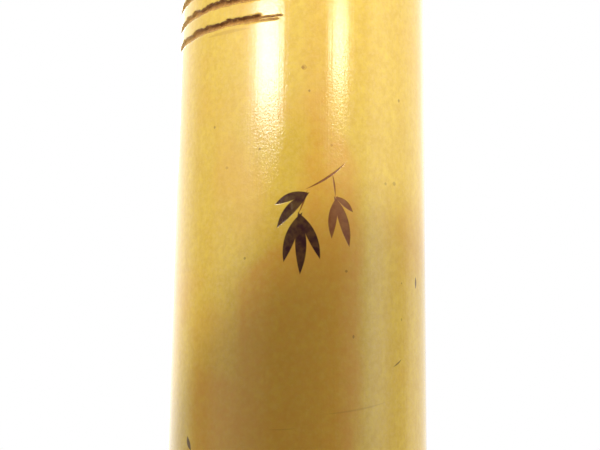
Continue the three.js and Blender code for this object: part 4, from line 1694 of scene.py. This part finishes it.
def groove_tones(look, shader, place, tone, grain):
    """The grooves, scorched along their upper side, where the colour also paints the shade under the steep
    upper wall, paler towards the +X limb as a painted sheen, and their mask.
    """
    torn = shader.noise(shader.scale(place["Point"], (1, 1, 0.5)), 0.3, 3, 0.65)
    edge = shader.plus(shader.attribute("groove_side"), shader.times(torn, 2.6))
    # Towards the +X limb less of the dark upper edge, and below less of the groove's colour: a painted
    # sheen where the grooves turn away
    turning = shader.ease(place["Around"], -21, -13, 0.25, 1)
    # Darker along the upper side: burn, and painted shade under the steep upper wall
    scorch_and_shade = shader.times(shader.ease(edge, 0.7, 2), turning)
    char = shader.mix(scorch_and_shade, look.groove, look.groove_edge_shade)
    char = shader.mix(shader.ease(grain, 0.5, 0.75, 0, 0.5), char, look.groove_fibre)
    deep = shader.plus(shader.attribute("groove"), shader.times(torn, 0.5))
    grooved = shader.ease(deep, 0.4, 0.85)
    fringe = shader.ease(edge, 0.1, 1, 0.25, 1)
    # Less of the groove's colour towards the +X limb: painted sheen
    burnt = shader.times(fringe, shader.ease(place["Around"], -23, -16, 0.6, 1))
    return shader.lay(tone, grooved, burnt, char), grooved


def bamboo_skin(look):
    """The polished skin, duller and rougher in its scars, rootlets, ornament and grooves."""
    material, shader, main = new_finish("bamboo_skin")
    place = shader.group("Place on the culm")
    point = place["Point"]
    grain = shader.noise(point, 0.55, 3, 0.6)
    peel = shader.noise(point, 0.3, 2)
    tone, fine = skin_tones(look, shader, place)
    tone = marked_tones(look, shader, place, tone)
    tone, scar = node_tones(look, shader, place, tone, grain)
    tone, ring = rootlet_tones(look, shader, tone, grain)
    tone, ornament = ornament_tones(look, shader, place, tone)
    tone, grooved = groove_tones(look, shader, place, tone, grain)

    dulled = ((grooved, 0.5), (scar, 0.45), (ring, 0.4), (ornament, 0.16))
    dull = shader.most([shader.times(mask, part) for mask, part in dulled])
    rub = shader.ease(shader.noise(point, 11, 4, 0.65), 0.4, 0.75, 0, 0.07)
    polish = shader.plus(shader.plus(rub, 0.07), shader.times(fine, 0.025))
    torn = shader.times(grooved, grain)
    height = shader.total((fine, 0.004), (peel, 0.0135), (ornament, -0.012), (torn, 0.25))
    finish(shader, main, tone, shader.plus(polish, dull), height)
    return material


def cut_bamboo(look):
    """Bamboo cut across: pale ground with the dark ends of its fibre bundles, denser outwards."""
    material, shader, main = new_finish("cut_bamboo")
    point = shader.group("Place on the culm")["Point"]
    flat = shader.scale(point, (1, 1, 0.04))
    reach = shader.reach(shader.scale(point, (1, 1, 0)))
    share = shader.ease(reach, 10, 17.5, 0.35, 1)
    ends = shader.group("Specks", Point=flat, Spacing=0.45, Size=0.28, Share=share)[0]
    fine = shader.group("Fibres", Point=point, Width=0.3, Length=9)[0]
    tone = shader.mix(shader.ease(shader.noise(point, 4, 3), 0.35, 0.7, 0, 0.5), look.cut, look.skin_deep)
    tone = shader.lay(tone, fine, 0.35, look.skin_root)
    tone = shader.lay(tone, ends, 0.55, look.cut_dark)
    roughness = shader.ease(ends, 0, 1, 0.38, 0.55)
    finish(shader, main, tone, roughness, shader.total((ends, -0.03), (fine, 0.02)))
    return material


def lacquer(name, colour, worn_colour, gloss):
    """Lacquer brushed on in thin coats: pooled shade, fine dust and rubbed edges."""
    material, shader, main = new_finish(name)
    point = shader.group("Place on the culm")["Point"]
    pool = shader.ease(shader.noise(point, 7, 3), 0.35, 0.7, 0, 0.35)
    tone = shader.mix(pool, colour, shader.mix(0.6, colour, (0, 0, 0)))
    dust = shader.group("Specks", Point=point, Spacing=1.3, Size=0.14, Share=0.25)[0]
    tone = shader.lay(tone, dust, 0.35, worn_colour)
    worn = shader.group("Wear", Point=point)[0]
    tone = shader.lay(tone, worn, 0.55, worn_colour)
    brushed = shader.group("Fibres", Point=point, Width=0.9, Length=26)[0]
    shine = shader.ease(brushed, 0, 1, gloss, gloss + 0.07)
    roughness = shader.plus(shine, shader.times(worn, 0.2))
    finish(shader, main, tone, roughness, shader.total((brushed, 0.012), (dust, 0.01)))
    return material


def tenon_finish(look):
    """Split bamboo under a thin clear lacquer."""
    material, shader, main = new_finish("tenon_bamboo")
    point = shader.group("Place on the culm")["Point"]
    fine = shader.group("Fibres", Point=point, Width=0.4, Length=30)[0]
    broad = shader.group("Fibres", Point=point, Width=2.2, Length=60)[0]
    tone = shader.mix(broad, look.cut, look.skin_deep)
    tone = shader.lay(tone, fine, 0.5, look.skin_root)
    flat = shader.scale(point, (1, 1, 0.05))
    ends = shader.group("Specks", Point=flat, Spacing=0.6, Size=0.3, Share=0.5)[0]
    tone = shader.lay(tone, ends, 0.5, look.cut_dark)
    worn = shader.group("Wear", Point=point)[0]
    roughness = shader.plus(shader.ease(fine, 0, 1, 0.22, 0.34), shader.times(worn, 0.2))
    finish(shader, main, tone, roughness, shader.times(fine, 0.02))
    return material


def horn_finish(look):
    """Polished black horn with pale streaks along the blowing edge."""
    material, shader, main = new_finish("horn")
    point = shader.group("Place on the culm")["Point"]
    bent = shader.scale(point, (0.18, 1.1, 0.8))
    streak = shader.ease(shader.noise(bent, 1.1, 4, 0.6), 0.52, 0.72)
    tone = shader.lay(look.horn, streak, 0.7, look.horn_pale)
    worn = shader.group("Wear", Point=point)[0]
    tone = shader.lay(tone, worn, 0.35, look.horn_pale)
    scratch = shader.group("Fibres", Point=point, Width=0.12, Length=3)[0]
    shine = shader.ease(scratch, 0.2, 0.9, 0.12, 0.2)
    roughness = shader.plus(shine, shader.times(worn, 0.15))
    finish(shader, main, tone, roughness, shader.times(scratch, 0.004))
    return material


def silver_finish(look):
    """Silver turned bright, then dulled by hands: fine turning lines, tarnish in the low places."""
    material, shader, main = new_finish("silver")
    point = shader.group("Place on the culm")["Point"]
    turning = shader.noise(shader.scale(point, (0.15, 0.15, 1)), 0.09, 2)
    cloud = shader.ease(shader.noise(point, 2.6, 4, 0.65), 0.45, 0.75)
    spots = shader.group("Specks", Point=point, Spacing=1.1, Size=0.25, Share=0.3)[0]
    dulled = shader.times(shader.most([cloud, spots]), 0.6)
    worn = shader.group("Wear", Point=point)[0]
    dulled = shader.times(dulled, shader.minus(1, shader.times(worn, 0.8)))
    tone = shader.mix(dulled, look.silver, look.tarnish)
    shine = shader.ease(turning, 0.3, 0.7, 0.16, 0.24)
    roughness = shader.plus(shine, shader.times(dulled, 0.22))
    finish(shader, main, tone, roughness, shader.times(turning, 0.004), metallic=1)
    return material


def rattan_finish(look):
    """Lacquered rattan: fibres along the strip, darker in the seams between its turns."""
    material, shader, main = new_finish("rattan")
    point = shader.group("Place on the culm")["Point"]
    along = shader.scale(point, (0.16, 0.16, 3.4))
    fibre = shader.ease(shader.noise(along, 1, 3, 0.6), 0.35, 0.7)
    tone = shader.lay(look.rattan, fibre, 0.75, look.rattan_pale)
    worn = shader.group("Wear", Point=point)[0]
    tone = shader.lay(tone, worn, 0.4, look.rattan_pale)
    spots = shader.group("Specks", Point=point, Spacing=2.2, Size=0.35, Share=0.25)[0]
    tone = shader.lay(tone, spots, 0.5, look.scar)
    roughness = shader.ease(fibre, 0, 1, 0.2, 0.34)
    finish(shader, main, tone, roughness, shader.times(fibre, 0.03))
    return material


# Stage


def stage_piece(name, points, faces, material):
    piece = new_piece(name, points, faces)
    piece.data.materials.append(material)
    return piece


def bare_finish(name):
    """A new material without a main shader, and the short ways to add to it."""
    material, shader, main = new_finish(name)
    shader.tree.nodes.remove(main)
    return material, shader


def glow_finish(name, colour, strength):
    """Light of the strength given times the piece's own glow, which lets other light through."""
    material, shader = bare_finish(name)
    light = shader.light(colour, shader.times(shader.attribute("glow"), strength))
    shader.show(shader.add("ShaderNodeAddShader", {0: shader.clear(), 1: light}).outputs[0])
    return material


def veil_finish(name, colour):
    """A plain dark colour over the share given by the piece's own glow."""
    material, shader = bare_finish(name)
    shader.show(shader.blend(shader.attribute("glow"), shader.clear(), shader.light(colour, 1)))
    return material


def direction(turned, risen):
    """From the back outwards, that many degrees towards +X and upwards."""
    across, up = turned * DEGREE, risen * DEGREE
    return np.array([np.sin(across) * np.cos(up), np.cos(across) * np.cos(up), np.sin(up)])


def curved_panel(name, table, distance, material):
    """A curved panel whose glow follows two tables of angle and share."""
    turned, risen = (np.linspace(rows[0][0], rows[-1][0], PANEL_STEPS) for rows in table)
    across, up = (angles.ravel() for angles in np.meshgrid(turned, risen))
    points = np.array(PANEL_AIM) + distance * direction(across, up).T
    panel = stage_piece(name, points, grid_faces(PANEL_STEPS, PANEL_STEPS), material)
    glow = np.interp(across, *zip(*table[0])) * np.interp(up, *zip(*table[1]))
    add_attribute(panel, "glow", glow)
    panel.visible_camera = False
    return panel


def light_panel(name, table, colour, strength):
    return curved_panel(name, table, PANEL_DISTANCE, glow_finish(name, colour, strength))


def dark_card(name, table, colour):
    """A dark card that darkens mirror images alone."""
    card = curved_panel(name, table, CARD_DISTANCE, veil_finish(name, colour))
    card.visible_diffuse = False
    card.visible_transmission = False
    card.visible_shadow = False


def add_flag(scene):
    """A dark gauze bent round the back, whose shade and mirror image darken the back's middle."""
    look = scene.flute_stage
    turned = np.linspace(FLAG_DENSITY[0][0], FLAG_DENSITY[-1][0], FLAG_COLUMNS)
    heights = np.linspace(look.flag_foot, look.flag_top, FLAG_ROWS)
    turned, up = (values.ravel() for values in np.meshgrid(turned, heights))
    across = look.flag_distance * np.sin(turned * DEGREE)
    back = AXIS_Y + look.flag_distance * np.cos(turned * DEGREE)
    material, shader, main = new_finish("flag")
    finish(shader, main, look.flag_colour, 0.8)
    shader.show(shader.blend(shader.attribute("dense"), shader.clear(), main.outputs[0]))
    points = np.column_stack([across, back, up])
    gauze = stage_piece("flag", points, grid_faces(FLAG_COLUMNS, FLAG_ROWS), material)
    top = MM * np.interp(turned, *zip(*FLAG_TOP))
    dense = np.interp(turned, *zip(*FLAG_DENSITY)) * smooth(top - up, 0, FLAG_EDGE)
    dense *= smooth(up, look.flag_foot, look.flag_foot + FLAG_EDGE)
    add_attribute(gauze, "dense", dense)
    gauze.visible_camera = False


def paper_finish(look):
    """Pale paper whose rim is white to the camera and to mirrors."""
    material, shader, main = new_finish("floor")
    point = shader.millimetres()
    paper = shader.ease(shader.noise(point, 3, 4, 0.6), 0.3, 0.7, 0.97, 1)
    tone = shader.mix(paper, (0, 0, 0), look.floor)
    finish(shader, main, tone, shader.ease(paper, 0.97, 1, 0.8, 0.7))
    reach = shader.reach(shader.scale(point, (1, 1, 0)))
    rim = shader.ease(reach, *(share * look.floor_radius / MM for share in FLOOR_FADE_SHARES))
    part = shader.times(rim, shader.seen())
    shader.show(shader.blend(part, main.outputs[0], shader.light((1, 1, 1), 1)))
    return material


def add_floor(scene):
    """A round floor of flat rings, without the cap that the outermost one would have."""
    look = scene.flute_stage
    radii = [look.floor_radius * share for share in FLOOR_RING_SHARES]
    rings = [turned_loop(radius, -FLOOR_DROP, TURNED_SIDES) for radius in radii]
    points, faces = loft(rings, closed=False)
    del faces[-2]
    stage_piece("floor", points, faces, paper_finish(look))


def add_world(scene):
    """White to the camera and to mirrors, and softer as light."""
    world = bpy.data.worlds.new("world")
    world.use_nodes = True
    scene.world = world
    shader = Shader(world.node_tree)
    strength = shader.ease(shader.seen(), 0, 1, scene.flute_stage.world, 1)
    background = world.node_tree.nodes["Background"]
    shader.feed(background.inputs["Color"], (1, 1, 1))
    shader.feed(background.inputs["Strength"], strength)


def add_window(scene, name, turned, across, height, lean, spread, softness):
    """Light that mirrors do not show and that ends at a soft edge on the back."""
    data = bpy.data.lights.new(name, "SPOT")
    data.energy = getattr(scene.flute_stage, name)
    data.spot_size = 2 * spread * DEGREE
    data.spot_blend = softness
    data.shadow_soft_size = WINDOW_RADIUS
    lamp = bpy.data.objects.new(name, data)
    lamp.visible_glossy = False
    away = Vector(direction(turned, WINDOW_RISE))
    depth = math.sqrt(UNROLL_RADIUS**2 - across**2)
    edge = Vector((across * MM, AXIS_Y + depth * MM, height * MM))
    beside = away.cross(Vector((0, 0, 1))).normalized()
    above = beside.cross(away)
    towards_light = above * math.cos(lean * DEGREE) + beside * math.sin(lean * DEGREE)
    aim = -away * math.cos(spread * DEGREE) + towards_light * math.sin(spread * DEGREE)
    lamp.location = edge + away * WINDOW_DISTANCE
    lamp.rotation_euler = aim.to_track_quat("-Z", "Y").to_euler()
    scene.collection.objects.link(lamp)


def add_front_lamp(scene):
    """A broad soft lamp before the finger holes, for the side that the camera does not see."""
    data = bpy.data.lights.new("front", "AREA")
    data.energy = scene.flute_stage.front
    data.size = FRONT_SIZE
    lamp = bpy.data.objects.new("front", data)
    lamp.matrix_world = Matrix.Translation(FRONT_PLACE) @ Matrix.Rotation(FRONT_RISE, 4, "X")
    scene.collection.objects.link(lamp)


def add_camera(scene):
    look = scene.flute_stage
    data = bpy.data.cameras.new("camera")
    data.lens = LENS
    data.clip_start = NEAREST
    viewer = bpy.data.objects.new("camera", data)
    scene.collection.objects.link(viewer)
    turn = Matrix.Rotation(math.pi, 4, "Z") @ Matrix.Rotation(BACK + look.camera_rise, 4, "X")
    turn = turn @ Matrix.Rotation(look.camera_roll, 4, "Z")
    place = Matrix.Translation((0, AXIS_Y + look.camera_distance, look.camera_height))
    viewer.matrix_world = place @ turn
    scene.camera = viewer


# Operators


class BambooOperator(bpy.types.Operator):
    """Adds both sections of bamboo"""

    bl_idname = "flute.add_bamboo"
    bl_label = "Bamboo"

    def execute(self, context):
        scene = context.scene
        culm = Culm(scene)
        look = scene.flute_finishes
        channel = lacquer("channel_lacquer", look.lacquer, look.rattan_pale, 0.2)
        finishes = [bamboo_skin(look), cut_bamboo(look), channel]
        for section, build in (("lower", lower_bamboo), ("upper", upper_bamboo)):
            piece = build(scene, culm)
            dress_bamboo(scene, culm, piece, finishes)
            place_piece(piece, f"{section}_section", f"{section}_culm")
        return {"FINISHED"}


class BoreOperator(bpy.types.Operator):
    """Adds the lacquered lining of both bores"""

    bl_idname = "flute.add_bore_lacquer"
    bl_label = "Bore lacquer"

    def execute(self, context):
        scene = context.scene
        look = scene.flute_finishes
        red = lacquer("bore_lacquer", look.bore, look.rattan_pale, 0.12)
        for section, build in (("lower", lower_lining), ("upper", upper_lining)):
            piece = build(scene)
            dress(piece, red)
            place_piece(piece, f"{section}_section", f"{section}_bore_lining")
        return {"FINISHED"}


class BandsOperator(bpy.types.Operator):
    """Adds the silver band on each side of the joint"""

    bl_idname = "flute.add_silver_bands"
    bl_label = "Silver bands"

    def execute(self, context):
        scene = context.scene
        silver = silver_finish(scene.flute_finishes)
        for section in ("lower", "upper"):
            node = f"{section}_joint_ring"
            band = silver_band(scene, f"{section}_silver_band", node)
            dress(band, silver)
            place_piece(band, f"{section}_section", node)
        return {"FINISHED"}


class RattanOperator(bpy.types.Operator):
    """Adds the rattan wound beside each silver band"""

    bl_idname = "flute.add_rattan"
    bl_label = "Rattan bindings"

    def execute(self, context):
        scene = context.scene
        rattan = rattan_finish(scene.flute_finishes)
        for section in ("lower", "upper"):
            node = f"{section}_joint_winding"
            binding = rattan_binding(scene, f"{section}_rattan", node)
            dress(binding, rattan, RATTAN_SHARP)
            place_piece(binding, f"{section}_section", node)
        return {"FINISHED"}


class TenonOperator(bpy.types.Operator):
    """Adds the tenon that the two sections join on"""

    bl_idname = "flute.add_tenon"
    bl_label = "Tenon"

    def execute(self, context):
        scene = context.scene
        tube = tenon_tube(scene)
        dress(tube, tenon_finish(scene.flute_finishes))
        place_piece(tube, "upper_section", "tenon")
        return {"FINISHED"}


class HornOperator(bpy.types.Operator):
    """Adds the horn let into the blowing edge"""

    bl_idname = "flute.add_horn"
    bl_label = "Horn inlay"

    def execute(self, context):
        scene = context.scene
        inlay = horn_inlay(scene, Culm(scene))
        dress(inlay, horn_finish(scene.flute_finishes))
        place_piece(inlay, "upper_section", "mouthpiece_inlay")
        return {"FINISHED"}


class StageOperator(bpy.types.Operator):
    """Adds the floor, the light and the camera"""

    bl_idname = "flute.add_stage"
    bl_label = "Stage"

    def execute(self, context):
        scene = context.scene
        look = scene.flute_stage
        scene.view_settings.view_transform = "Standard"
        add_camera(scene)
        add_world(scene)
        add_floor(scene)
        for name, (field, *table) in PANELS.items():
            panel = light_panel(name, table, getattr(look, f"{field}_colour"), getattr(look, field))
            panel.visible_diffuse = name in LIGHTING_PANELS
        for name, table in CARDS.items():
            dark_card(name, table, look.card_colour)
        add_flag(scene)
        for name, window in WINDOWS.items():
            add_window(scene, name, *window)
        add_front_lamp(scene)
        return {"FINISHED"}


OPERATORS = (
    BambooOperator,
    BoreOperator,
    BandsOperator,
    RattanOperator,
    TenonOperator,
    HornOperator,
    StageOperator,
)


class FlutePanel(bpy.types.Panel):
    """Lists the flute's pieces in the 3D view's sidebar"""

    bl_idname = "VIEW3D_PT_flute"
    bl_label = "Flute"
    bl_space_type = "VIEW_3D"
    bl_region_type = "UI"
    bl_category = "Flute"

    def draw(self, context):
        for operator in OPERATORS:
            self.layout.operator(operator.bl_idname)
        for name in SETTINGS:
            box = self.layout.box()
            group = getattr(context.scene, name)
            for field in group.bl_rna.properties:
                if field.identifier not in ("rna_type", "name"):
                    box.prop(group, field.identifier)


def register():
    for group in SETTINGS.values():
        bpy.utils.register_class(group)
    for name, group in SETTINGS.items():
        setattr(bpy.types.Scene, name, PointerProperty(type=group))
    for operator in OPERATORS:
        bpy.utils.register_class(operator)
    bpy.utils.register_class(FlutePanel)


def unregister():
    bpy.utils.unregister_class(FlutePanel)
    for operator in reversed(OPERATORS):
        bpy.utils.unregister_class(operator)
    for name, group in reversed(SETTINGS.items()):
        delattr(bpy.types.Scene, name)
        bpy.utils.unregister_class(group)


def main():
    register()
    for operator in OPERATORS:
        family, _, name = operator.bl_idname.partition(".")
        getattr(getattr(bpy.ops, family), name)()
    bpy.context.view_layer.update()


if __name__ == "__main__":
    main()
